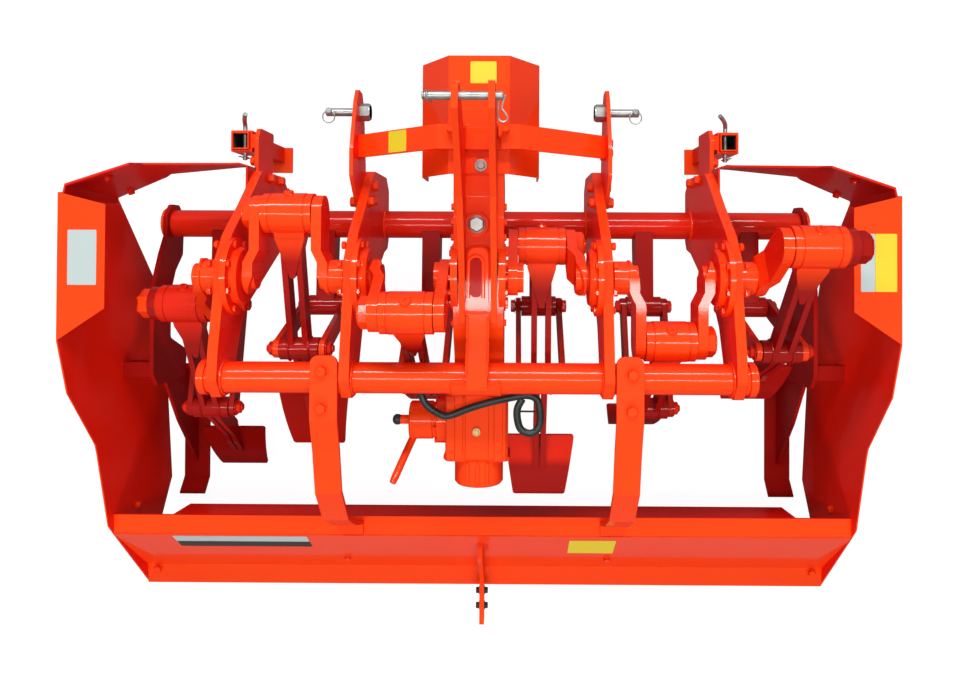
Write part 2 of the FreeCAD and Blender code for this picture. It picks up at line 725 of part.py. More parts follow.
def skids():
    """Depth skids: a bent sole hung from the end plate by a rib."""
    outside = end_plate + end_thickness + weld_gap
    sole = [(at(-296), 124), (at(-345), 50), (at(-400), 0), (at(-690), 0), (at(-736), 42)]
    rib = [(at(-245), 175), (at(-245), 252), (at(-318), 268), (at(-470), 160), (at(-640), 6),
           (at(-398), 6), (at(-338), 60), (at(-285), 150)]
    rib_thickness = 10
    inner = outside + rib_thickness / 2 - skid_width / 2
    pieces = []
    for name, side in SIDES:
        strip_piece = plate(name + "_sole", "YZ", start_of(side, inner, skid_width), skid_width,
                            strip(sole, -skid_sole))
        rib_piece = plate(name + "_skid_rib", "YZ", start_of(side, outside, rib_thickness),
                          rib_thickness, rib)
        pieces.append(fuse(name + "_skid", [strip_piece, rib_piece]))
    return pieces


def rear_parts():
    half = overall_width / 2 - sheet_thickness - weld_gap
    thick = 8
    bar = box("rear_bar", half * 2, bar_width, thick, -half, at(-bar_behind) - bar_width,
              bar_height - thick)
    under = bar_height - thick - weld_gap
    low = bar_height - 302
    foot = at(-bar_behind) - 70
    board = plate("rear_board", "YZ", -952, 1904,
                  strip([(foot, low), (foot + 22, under)], -sheet_thickness))
    chain = [(at(-bar_behind) - bar_width - weld_gap, bar_height - 2), (at(-908), 176),
             (at(-970), 168)]
    hood = plate("rear_hood", "YZ", -half, half * 2, strip(chain, -sheet_thickness))
    outer = overall_length / 2
    upper, knee = chain[0], chain[1]
    start = (upper[0] + 0.2 * (knee[0] - upper[0]), upper[1] + 0.2 * (knee[1] - upper[1]))
    lower = set_off([start, knee, (-outer, knee[1])], -(sheet_thickness + weld_gap))
    tab = plate("rear_tab", "YZ", -13, 14, strip(lower, -45))
    return [bar, board, hood, tab]


def hood_straps():
    """Flat straps over the rear tube, back and down to the rear bar, round at the front."""
    top = rear_tube_height + rear_tube_radius + weld_gap
    front = at(-186)
    chain = [(front, top), (at(-340), top), (at(-420), top - 30), (at(-530), top - 60),
             (at(-620), top - 140), (at(-668), top - 240),
             (at(-bar_behind) - 12, bar_height + weld_gap),
             (at(-bar_behind) - bar_width + 4, bar_height + weld_gap)]
    profile = strip(chain, -strap_thickness)
    pieces = []
    for name, side in SIDES:
        start = start_of(side, strap_middle - strap_width / 2, strap_width)
        body = plate(name + "_hood_strap", "YZ", start, strap_width, profile)
        corners = [VECTOR(float(across), float(front), 0)
                   for across in (start, start + strap_width)]
        round_edges(body, 20, runs_along(VECTOR(0, 0, 1), corners))
        pieces.append(body)
    return group("hood_straps", pieces)


# ---------------------------------------------------------------- parking legs
def stand_brackets():
    """Plates outside the outer frame plates, each with the sleeve of a parking leg."""
    inner = outer_plate + plate_thickness / 2 + weld_gap
    hole = leg_size + leg_play * 2
    wall, thickness, low, height = 5, 12, 240, 110
    outline = [(at(262), low + 10), (at(262), low + 140), (at(leg_ahead + 4), low + 140),
               (at(leg_ahead + 35), low + 120), (at(leg_ahead + 35), low)]
    sleeve_width = hole + wall * 2
    sleeve_start = leg_side - sleeve_width / 2
    gap = sleeve_start - inner - thickness
    pieces = []
    for name, side in SIDES:
        sheet_piece = plate(name + "_stand_plate", "YZ", start_of(side, inner, thickness),
                            thickness, outline, rounding=9)
        web = box(name + "_stand_web", gap + 2, 40, height,
                  start_of(side, inner + thickness - 1, gap + 2), at(leg_ahead) - 20, low)
        sleeve = box(name + "_sleeve", sleeve_width, sleeve_width, height,
                     start_of(side, sleeve_start, sleeve_width),
                     at(leg_ahead) - sleeve_width / 2, low)
        bore = box(name + "_sleeve_bore", hole, hole, height * 2,
                   start_of(side, sleeve_start + wall, hole), at(leg_ahead) - hole / 2,
                   low - height / 2)
        pieces.append(cut(name + "_stand_bracket",
                          fuse(name + "_stand_solid", [sheet_piece, web, sleeve]), bore))
    return group("stand_brackets", pieces)


def stand_legs():
    foot_width, foot_depth, foot_height, back = 102, 84, 8, 17
    inside = leg_size - leg_wall * 2
    pieces = []
    for name, side in SIDES:
        tube = box(name + "_leg_tube", leg_size, leg_size, leg_length,
                   start_of(side, leg_side - leg_size / 2, leg_size),
                   at(leg_ahead) - leg_size / 2, 0)
        bore = box(name + "_leg_bore", inside, inside, leg_length,
                   start_of(side, leg_side - inside / 2, inside), at(leg_ahead) - inside / 2,
                   foot_height)
        foot = box(name + "_leg_foot", foot_width, foot_depth, foot_height,
                   start_of(side, leg_side - foot_width / 2, foot_width),
                   at(leg_ahead - back) - foot_depth / 2, 0)
        hollow = cut(name + "_leg_hollow", tube, bore)
        pieces.append(fuse(name + "_stand_leg", [hollow, foot]))
    return pieces


# ---------------------------------------------------------------- crank and spades
def crank_web(label, face, direction, offset):
    """A crank web beside the pin's housing that leans outward near the axis, pin along +Z."""
    half = web_width / 2
    lean_top, lean_end, lip = 66, 34, 5
    outline = [(0, crank_throw + half), (web_thickness, crank_throw + half),
               (web_thickness, lean_top), (offset + web_thickness, lean_end),
               (offset + web_thickness, -half)]
    if float(offset) > 0:
        outline += [(offset + web_thickness - lip, -half), (offset, 0)]
    else:
        outline += [(offset, -half)]
    outline += [(offset, lean_end), (0, lean_top)]
    body = new_body(label + "_side")
    sketch = new_sketch(body, "XZ")
    draw_outline(sketch, [(face + across * direction, up) for across, up in outline])
    pad(body, sketch, web_width, centred=True)
    reach = web_thickness + web_offset
    front = plate(label + "_front", "YZ", face if direction > 0 else face - reach, reach,
                  [(-half, -half), (half, -half), (half, crank_throw + half),
                   (-half, crank_throw + half)], rounding=half - 0.5)
    return common(label, body, front)


def crankshaft():
    """Six throws a sixth of a turn apart, joined by journals in the frame bearings."""
    plate_face = plate_thickness / 2
    pieces = []
    for step, (middle, angle) in enumerate(zip(throw_positions, throw_angles)):
        side = -1 if step < 3 else 1
        rank = 2 - step if step < 3 else step - 3
        across = throw_middles[rank]
        name = "throw_%d" % (step + 1)
        inner_pin = across - pin_room - web_thickness
        outer_pin = across + pin_room
        turn = FreeCAD.Rotation(VECTOR(1, 0, 0), angle - 90)
        for spot in (-1, 1) if rank < 2 else (-1,):
            offset = 0 if rank == 0 and spot < 0 else web_offset
            web = crank_web("%s_web_%s" % (name, "inner" if spot < 0 else "outer"),
                            side * (across + spot * pin_room), side * spot, offset)
            pieces.append(place(web, 0, crank_y, crank_height, turn))
        along = crank_y + crank_throw * math.cos(math.radians(angle))
        up = crank_height + crank_throw * math.sin(math.radians(angle))
        outer_end = outer_pin + (web_thickness if rank < 2 else end_disc)
        turned_parts = [("pin", crank_pin_radius, inner_pin, outer_end)]
        if rank < 2:
            turned_parts.append(("nut", nut_radius, outer_end, outer_end + 24))
        else:
            turned_parts += [("disc", web_width / 2, outer_pin, outer_end),
                             ("nut", nut_radius, outer_end, outer_end + end_nut)]
        for part, radius, start, end in turned_parts:
            length = end - start
            pieces.append(cylinder("%s_%s" % (name, part), radius, length,
                                   start_of(side, start, length), along, up))
    inner_nut, outer_collar = 14, 6
    centre = first_throw - pin_room - 2
    axis_parts = [("centre", journal_radius, -centre, centre * 2)]
    for name, side in SIDES:
        nut_start = first_throw - pin_room
        axis_parts.append((name + "_nut", collar_radius - 4, start_of(side, nut_start, inner_nut),
                           inner_nut))
        for rank, spot in ((0, inner_plate), (1, outer_plate)):
            start = throw_middles[rank] + half_throw - web_thickness
            length = throw_pitch - half_throw * 2 + web_thickness * 2
            axis_parts.append(("%s_journal_%d" % (name, rank), journal_radius,
                               start_of(side, start, length), length))
            start = spot + plate_face + outer_collar
            length = collar_room - outer_collar + 2
            axis_parts.append(("%s_collar_%d" % (name, rank), collar_radius,
                               start_of(side, start, length), length))
    for name, radius, start, length in axis_parts:
        pieces.append(cylinder(name, radius, length, start, crank_y, crank_height))
    return fuse("crankshaft", pieces)


def linkage(angle):
    """Crank pin, upper rocker pivot, arm direction and rocker direction for one throw."""
    turn = math.radians(angle)
    throw = float(crank_throw)
    pin = (float(crank_y) + throw * math.cos(turn), float(crank_height) + throw * math.sin(turn))
    pivot = (float(crank_y) - float(pivot_behind), float(pivot_height))
    across, up = pin[0] - pivot[0], pin[1] - pivot[1]
    gap = math.hypot(across, up)
    rocker, arm = float(rocker_length), float(arm_length)
    along = (rocker ** 2 - arm ** 2 + gap ** 2) / (2 * gap)
    aside = math.sqrt(rocker ** 2 - along ** 2)
    knee = (pivot[0] + (along * across - aside * up) / gap,
            pivot[1] + (along * up + aside * across) / gap)
    arm_angle = math.degrees(math.atan2(pin[1] - knee[1], pin[0] - knee[0]))
    rocker_angle = math.degrees(math.atan2(knee[1] - pivot[1], knee[0] - pivot[0]))
    return pin, pivot, arm_angle, rocker_angle


def spade_arm(label):
    """One arm with its crank bearing at the origin, reaching back along -Y."""
    half = housing_length / 2
    bore_radius = crank_pin_radius + pin_play
    cap, groove, depth = 17, 3, 2
    profile = [(-half, bore_radius), (-half, housing_radius - 1), (-half + cap, housing_radius - 1),
               (-half + cap, housing_radius - 1 - depth),
               (-half + cap + groove, housing_radius - 1 - depth),
               (-half + cap + groove, housing_radius), (half - cap - groove, housing_radius),
               (half - cap - groove, housing_radius - 1 - depth),
               (half - cap, housing_radius - 1 - depth), (half - cap, housing_radius - 1),
               (half, housing_radius - 1), (half, bore_radius)]
    housing = turned(label + "_housing", profile)
    neck, tip = bore_radius + 2, 165
    gusset = plate(label + "_gusset", "XY", None, 52,
                   [(-38, -neck), (38, -neck), (38, -58), (6, -tip), (-6, -tip), (-38, -58)],
                   centred=True)
    bars = [box("%s_bar_%s" % (label, name), arm_bar, arm_length - 40, arm_bar_depth,
                side * arm_bar_pitch / 2 - arm_bar / 2, -arm_length, -arm_bar_depth / 2)
            for name, side in SIDES]
    hub = cylinder(label + "_hub", hub_radius, hub_length, -hub_length / 2, -arm_length, 0)
    return fuse(label, [housing, gusset, hub, spade_shank(label)] + bars)


def blade_place():
    """Top of the blade in the frame of its arm, turned down by the drop angle."""
    return FreeCAD.Placement(VECTOR(0, -float(arm_length + blade_start), -float(blade_drop)),
                             FreeCAD.Rotation(VECTOR(1, 0, 0), blade_drop_angle))


def blade_arch(label, radius, across, length):
    """The round body under the bent back of a blade, in the frame of the blade."""
    rise = math.sqrt(float(blade_bend) ** 2 - (float(blade_length) / 2) ** 2)
    return cylinder(label, radius, length, across, -blade_length / 2, -rise)


def spade_shank(label):
    """Two bars side by side, from the hub down to the back of the blade and along it."""
    bar, pitch, along = 15, 20, 92
    turn = math.radians(blade_drop_angle)
    start, drop = arm_length + blade_start, blade_drop

    def on_blade(behind, above):
        return (-start - behind * math.cos(turn) - above * math.sin(turn),
                -drop - behind * math.sin(turn) + above * math.cos(turn))

    outline = [(-arm_length + 4, 24), (-arm_length - 22, 20), on_blade(-6, 36), on_blade(24, 34),
               on_blade(along, 17), on_blade(along, 4), on_blade(0, -12), on_blade(-14, -12),
               (-arm_length + 4, -26)]
    bars = [plate("%s_shank_%s" % (label, name), "YZ", side * pitch / 2 - bar / 2, bar, outline)
            for name, side in SIDES]
    arch = group(label + "_arch",
                 [blade_arch(label + "_arch_body", blade_bend + weld_gap, -40, 80)])
    arch.Placement = blade_place()
    return cut(label + "_shank", fuse(label + "_shank_bars", bars), arch)


def spade_blade(label):
    """A bent trapezoid blade, its top at the origin and its tip along -Y."""
    half_top, half_tip = blade_top / 2, blade_tip / 2
    outline = plate(label + "_outline", "XY", -60, 120,
                    [(-half_top, 0), (half_top, 0), (half_tip, -blade_length),
                     (-half_tip, -blade_length)], rounding=8)
    length = blade_top + 40
    back = blade_arch(label + "_back", blade_bend, -length / 2, length)
    face = blade_arch(label + "_face", blade_bend - blade_thickness, -length / 2, length)
    return common(label, outline, cut(label + "_shell", back, face))


def rocker(label):
    """A pair of bars on a lower pin, the lower pivot at the origin and the bars along +Y."""
    gap = hub_length / 2 + side_play
    depth = rocker_depth / 2
    outline = [(-depth, -depth), (rocker_length + depth, -depth), (rocker_length + depth, depth),
               (-depth, depth)]
    bars = [plate("%s_bar_%s" % (label, name), "YZ", start_of(side, gap, rocker_bar), rocker_bar,
                  outline, rounding=depth - 0.5) for name, side in SIDES]
    reach = gap + rocker_bar + rocker_pin_end
    pin = cylinder(label + "_pin", rocker_pin_radius, reach * 2, -reach, 0, 0)
    return fuse(label, bars + [pin])


def spades():
    pieces = []
    for step, (middle, angle) in enumerate(zip(throw_positions, throw_angles)):
        number = step + 1
        pin, pivot, arm_angle, rocker_angle = linkage(angle)
        held = FreeCAD.Placement(VECTOR(float(middle), *pin),
                                 FreeCAD.Rotation(VECTOR(1, 0, 0), arm_angle))
        arm = spade_arm("spade_arm_%d" % number)
        arm.Placement = held
        blade = spade_blade("spade_blade_%d" % number)
        blade.Placement = held * blade_place()
        pieces += [arm, blade]
        piece = rocker("rocker_%d" % number)
        piece.Placement = FreeCAD.Placement(VECTOR(float(middle), *pivot),
                                            FreeCAD.Rotation(VECTOR(1, 0, 0), rocker_angle))
        pieces.append(piece)
    return pieces


# ---------------------------------------------------------------- assembly
nodes = frame_plates()
nodes += [crank_bearings(), front_tube(), rear_tube(), rocker_brackets()]
nodes += hitch_plates()
nodes += [lower_hitch_pins(), mast(), top_link_pin(), hitch_braces()]
nodes += [gearbox(), input_shaft(), shaft_guard(), gear_housing(), selector_housing(), gear_lever(),
          shaft_holder_hook()]
nodes += side_shields() + front_stays() + end_plates() + skids() + rear_parts()
nodes += [hood_straps(), stand_brackets()] + stand_legs()
nodes += [crankshaft()] + spades()
document.recompute()

for item in document.Objects:
    if "Invalid" in item.State or "Error" in item.State:
        raise RuntimeError("%s did not build: %s" % (item.Label, item.State))
for node in nodes:
    if node.Shape.isNull() or not node.Shape.isValid():
        raise RuntimeError("%s has no valid shape" % node.Label)

os.makedirs("parts", exist_ok=True)
for node in nodes:
    node.Shape.exportStep("parts/%s.step" % node.Label)
    print("%-28s %d solid(s) %12.0f mm3" % (node.Label, len(node.Shape.Solids), node.Shape.Volume))
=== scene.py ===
import json
import math

import bpy
import numpy as np
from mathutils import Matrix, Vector


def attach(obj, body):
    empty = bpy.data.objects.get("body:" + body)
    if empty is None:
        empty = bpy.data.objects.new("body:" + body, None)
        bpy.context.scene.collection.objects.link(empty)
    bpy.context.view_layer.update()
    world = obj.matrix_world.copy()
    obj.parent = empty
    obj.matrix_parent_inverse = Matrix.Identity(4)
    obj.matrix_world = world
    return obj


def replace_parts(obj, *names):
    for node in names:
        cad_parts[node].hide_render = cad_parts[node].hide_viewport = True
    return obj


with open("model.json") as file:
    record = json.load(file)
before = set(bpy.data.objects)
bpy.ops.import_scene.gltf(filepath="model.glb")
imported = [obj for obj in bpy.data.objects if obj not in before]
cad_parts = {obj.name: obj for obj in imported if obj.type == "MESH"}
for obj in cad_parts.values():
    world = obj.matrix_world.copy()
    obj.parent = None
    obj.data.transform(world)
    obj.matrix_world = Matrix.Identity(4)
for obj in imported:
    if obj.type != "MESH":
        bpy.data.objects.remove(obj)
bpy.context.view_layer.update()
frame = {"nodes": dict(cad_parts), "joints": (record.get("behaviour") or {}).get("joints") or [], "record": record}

joints = {joint["name"]: np.array(joint["pos_m"]) for joint in frame["joints"] if "pos_m" in joint}
print("frame loaded:", len(frame["nodes"]), "nodes")


class Field:
    # a shader value: Python operators on it add Math nodes to its tree
    def __init__(self, tree, socket):
        self.tree = tree
        self.socket = socket

    def blend(self, operation, first, second):
        node = self.tree.nodes.new("ShaderNodeMath")
        node.operation = operation
        for slot, value in zip(node.inputs, (first, second)):
            if isinstance(value, Field):
                self.tree.links.new(value.socket, slot)
            else:
                slot.default_value = value
        return Field(self.tree, node.outputs[0])

    def __add__(self, other):
        return self.blend("ADD", self, other)

    def __sub__(self, other):
        return self.blend("SUBTRACT", self, other)

    def __mul__(self, other):
        return self.blend("MULTIPLY", self, other)

    def __truediv__(self, other):
        return self.blend("DIVIDE", self, other)

    def __pow__(self, other):
        return self.blend("POWER", self, other)

    def __rsub__(self, other):
        return self.blend("SUBTRACT", other, self)

    __radd__ = __add__
    __rmul__ = __mul__


class Shader:
    # one material: node adds any node, field reads one of its outputs as a Field
    def __init__(self, name):
        self.material = bpy.data.materials.new(name)
        self.material.use_nodes = True
        self.tree = self.material.node_tree
        self.surface = self.tree.nodes["Principled BSDF"]

    def node(self, kind, settings=None, **values):
        made = self.tree.nodes.new(kind)
        for key, value in (settings or {}).items():
            setattr(made, key, value)
        for key, value in values.items():
            self.feed(made.inputs[key.replace("_", " ")], value)
        return made

    def feed(self, slot, value):
        if isinstance(value, Field):
            self.tree.links.new(value.socket, slot)
        elif isinstance(value, bpy.types.NodeSocket):
            self.tree.links.new(value, slot)
        else:
            slot.default_value = value

    def field(self, node, output=0):
        return Field(self.tree, node.outputs[output])

    def place(self):
        return self.node("ShaderNodeTexCoord").outputs["Object"]

    def noise(self, scale, detail=3.0, roughness=0.5):
        node = self.node("ShaderNodeTexNoise", Vector=self.place(), Scale=scale, Detail=detail,
                         Roughness=roughness)
        return self.field(node)

    def ramp(self, value, low, high):
        node = self.node("ShaderNodeMapRange", Value=value, From_Min=low, From_Max=high)
        return self.field(node)

    def mix(self, factor, first, second):
        node = self.node("ShaderNodeMix", {"data_type": "RGBA"})
        self.feed(node.inputs[0], factor)
        self.feed(node.inputs[6], first)
        self.feed(node.inputs[7], second)
        return node.outputs[2]

    def bump(self, height, distance, edge=0.0015):
        node = self.node("ShaderNodeBump", Height=height, Distance=distance)
        rounding = self.node("ShaderNodeBevel", {"samples": 4}, Radius=edge)
        self.feed(node.inputs["Normal"], rounding.outputs[0])
        self.feed(self.surface.inputs["Normal"], node.outputs[0])

    def set(self, **values):
        for key, value in values.items():
            self.feed(self.surface.inputs[key.replace("_", " ")], value)


# powder coat: painted light makes it orange red where it faces up and painted shade makes it crimson on walls; the
# working parts are deeper, in painted shade
paintLook = {
    "bright": ((0.96, 0.058, 0.004, 1), (0.92, 0.009, 0.004, 1)),
    "deep": ((0.36, 0.007, 0.004, 1), (0.34, 0.003, 0.004, 1)),
    "middle": ((0.72, 0.018, 0.004, 1), (0.55, 0.005, 0.004, 1)),
    "turnFrom": -0.1,      # upward part of the normal where the painted light begins to lift the colour above the walls' painted shade
    "turnTo": 0.85,
    "patchScale": 6.0,
    "patch": 0.3,          # swing from place to place of the painted light share
    "roughness": 0.42,
    "sheenScale": 9.0,
    "sheen": 0.14,         # swing of the roughness
    "specular": 0.06,
    "coatRoughness": 0.06,
    "grainScale": 260.0,
    "grooveScale": (6, 210, 210),
    "coatTop": 0.5,        # clear coat gained where the paint faces up
    "coatWall": 0.1,
    "deepCoat": 0.05,
    "peel": 0.00012,
    "groove": 0.0025,
    "edge": 0.0022,        # radius of the softened edges
    "rockerFrom": 0.36,    # heights between which a rocker passes from painted shade (deep) to lit (bright)
    "rockerTo": 0.50,
    "armFrom": 0.125,      # distances from the crank pin between which an arm passes from painted shade to lit
    "armTo": 0.055,
    "bladeFrom": -0.284,   # places along the machine between which blade 4 passes from painted shadow to lit
    "bladeTo": -0.258,
    "endFrom": 0.864,      # distances from the middle between which the crank passes from painted shade to lit
    "endTo": 0.856,
}


def redPaint(name, tone="bright", passing=None, cut=False):
    # passing(shader) gives the share of the tone, from 0 where painted shade makes the paint deep to 1
    shader = Shader(name)
    # painted light and shade: the colour turns from the walls' crimson to the upper orange as the normal turns up
    upward = shader.node("ShaderNodeSeparateXYZ",
                         Vector=shader.node("ShaderNodeNewGeometry").outputs["Normal"])
    turned = shader.ramp(shader.field(upward, 2), paintLook["turnFrom"], paintLook["turnTo"])
    swing = paintLook["patch"]
    turned = turned * (shader.noise(paintLook["patchScale"]) * swing + (1 - swing / 2))
    upper, wall = paintLook[tone]
    colour = shader.mix(turned, wall, upper)
    # painted shade: the deep copy takes over where passing falls to 0
    if passing:
        upper, wall = paintLook["deep"]
        colour = shader.mix(passing(shader), shader.mix(turned, wall, upper), colour)
    coat = paintLook["deepCoat"] if tone == "deep" else (
        turned * paintLook["coatTop"] + paintLook["coatWall"])
    shader.set(Base_Color=colour,
               Roughness=(shader.noise(paintLook["sheenScale"]) * paintLook["sheen"]
                          + paintLook["roughness"] - paintLook["sheen"] / 2),
               Coat_Weight=coat, Coat_Roughness=paintLook["coatRoughness"],
               Specular_IOR_Level=paintLook["specular"])
    if cut:
        # flame-cut edges: grooves that run across the sheet, drawn out sideways
        lines = shader.node("ShaderNodeMapping", Vector=shader.place(),
                            Scale=paintLook["grooveScale"])
        grooves = shader.field(shader.node("ShaderNodeTexNoise", Vector=lines.outputs[0],
                                           Scale=1.0, Detail=1.0))
        shader.bump(grooves, paintLook["groove"], edge=paintLook["edge"])
    else:
        shader.bump(shader.noise(paintLook["grainScale"], detail=2.0), paintLook["peel"],
                    edge=paintLook["edge"])
    return shader.material


def coordinate(shader, number):
    return shader.field(shader.node("ShaderNodeSeparateXYZ", Vector=shader.place()), number)


# painted shade: a rocker is deep below one height and bright above another
def shadeBelowHeight(shader):
    return shader.ramp(coordinate(shader, 2), paintLook["rockerFrom"], paintLook["rockerTo"])


# painted shadow: blade 4 is deep behind one place along the machine and lit ahead of another
def bladeShadowEdge(shader):
    return shader.ramp(coordinate(shader, 1), paintLook["bladeFrom"], paintLook["bladeTo"])


# painted shade: the crank is deep toward its outer ends
def shadeTowardEnds(shader):
    # distance from the middle plane: the root of its square
    aside = coordinate(shader, 0)
    return shader.ramp((aside * aside) ** 0.5, paintLook["endFrom"], paintLook["endTo"])


# painted shade: an arm is bright near its crank pin and deep farther out
def shadeAwayFromPin(pin):
    # distance from the line of a crank pin: the root of the two squares ahead and up
    def share(shader):
        place = shader.node("ShaderNodeSeparateXYZ", Vector=shader.place())
        ahead, height = shader.field(place, 1) - pin[1], shader.field(place, 2) - pin[2]
        return shader.ramp((ahead * ahead + height * height) ** 0.5, paintLook["armFrom"],
                           paintLook["armTo"])
    return share


def zincPlate():
    shader = Shader("zincPlate")
    patch = shader.ramp(shader.noise(40.0), 0.35, 0.65)
    shader.set(Base_Color=shader.mix(patch, (0.40, 0.43, 0.41, 1), (0.52, 0.54, 0.51, 1)),
               Metallic=0.85, Roughness=patch * 0.15 + 0.34)
    shader.bump(shader.noise(500.0), 0.0001)
    return shader.material


def darkCoat():
    shader = Shader("darkCoat")
    patch = shader.ramp(shader.noise(30.0), 0.3, 0.7)
    shader.set(Base_Color=shader.mix(patch, (0.012, 0.024, 0.021, 1), (0.025, 0.042, 0.038, 1)),
               Roughness=patch * 0.1 + 0.3)
    shader.bump(shader.noise(300.0), 0.0002)
    return shader.material


def bareSteel():
    shader = Shader("bareSteel")
    patch = shader.ramp(shader.noise(60.0), 0.3, 0.7)
    shader.set(Base_Color=shader.mix(patch, (0.42, 0.41, 0.40, 1), (0.56, 0.55, 0.53, 1)),
               Metallic=1.0, Roughness=patch * 0.15 + 0.3)
    shader.bump(shader.noise(600.0), 0.0001)
    return shader.material


# lit and shaded copies of one paint: the deep and middle tones are painted shade
paint = redPaint("redPaint")
shadedPaint = redPaint("shadedPaint", tone="deep")
halfShadedPaint = redPaint("halfShadedPaint", tone="middle")
crankPaint = redPaint("crankPaint", passing=shadeTowardEnds, cut=True)
rockerPaint = redPaint("rockerPaint", passing=shadeBelowHeight)
# arm 1 starts from the middle tone and every arm darkens away from its pin: painted shade
armShadePaint = {"spade_arm_%d" % number:
            redPaint("armShadePaint%d" % number, "middle" if number == 1 else "bright",
                     passing=shadeAwayFromPin(joints["spade_%d_crank_pin" % number].tolist()))
            for number in range(1, 7)}
zinc, dark, steel = zincPlate(), darkCoat(), bareSteel()
finishOf = {"red_paint": paint, "zinc": zinc, "bare_steel": steel, "dark_coating": dark}
# painted shade: blades, skids, front stays and end plates take the shaded copy, the front tube the half-shaded one
paintedShadeOf = {"spade_blade_4": redPaint("bladeShadowPaint", "middle", passing=bladeShadowEdge),
           "spade_blade": shadedPaint, "rocker_": rockerPaint, **armShadePaint,
           "left_skid": shadedPaint, "right_skid": shadedPaint, "front_stay": shadedPaint,
           "end_plate": shadedPaint, "front_tube": halfShadedPaint, "crankshaft": crankPaint}
slotOf = {part["node"]: part["material_slot"] for part in frame["record"]["subparts"]}
for name, item in frame["nodes"].items():
    finish = finishOf[slotOf[name]]
    if finish is paint:
        finish = next((own for key, own in paintedShadeOf.items() if key in name), paint)
    item.data.materials.clear()
    item.data.materials.append(finish)
print("materials made")

# every new piece is made of points worked out as arrays; lengths in the notes are millimetres
crankY, crankZ = joints["crankshaft_turn"][1:]
across, forward, upward = np.eye(3)


def spot(side, ahead, height):
    # a place in millimetres: to the right, ahead of the crank axis, above the floor
    return np.array((side / 1000, crankY + ahead / 1000, height / 1000))


def unit(vector):
    vector = np.asarray(vector, dtype=float)
    return vector / np.linalg.norm(vector, axis=-1, keepdims=True)


def squareTo(axis):
    # two directions square to an axis and to each other, right-handed with it
    axis = unit(axis)
    helper = upward if abs(axis[2]) < 0.9 else across
    first = unit(np.cross(helper, axis))
    return first, np.cross(axis, first)


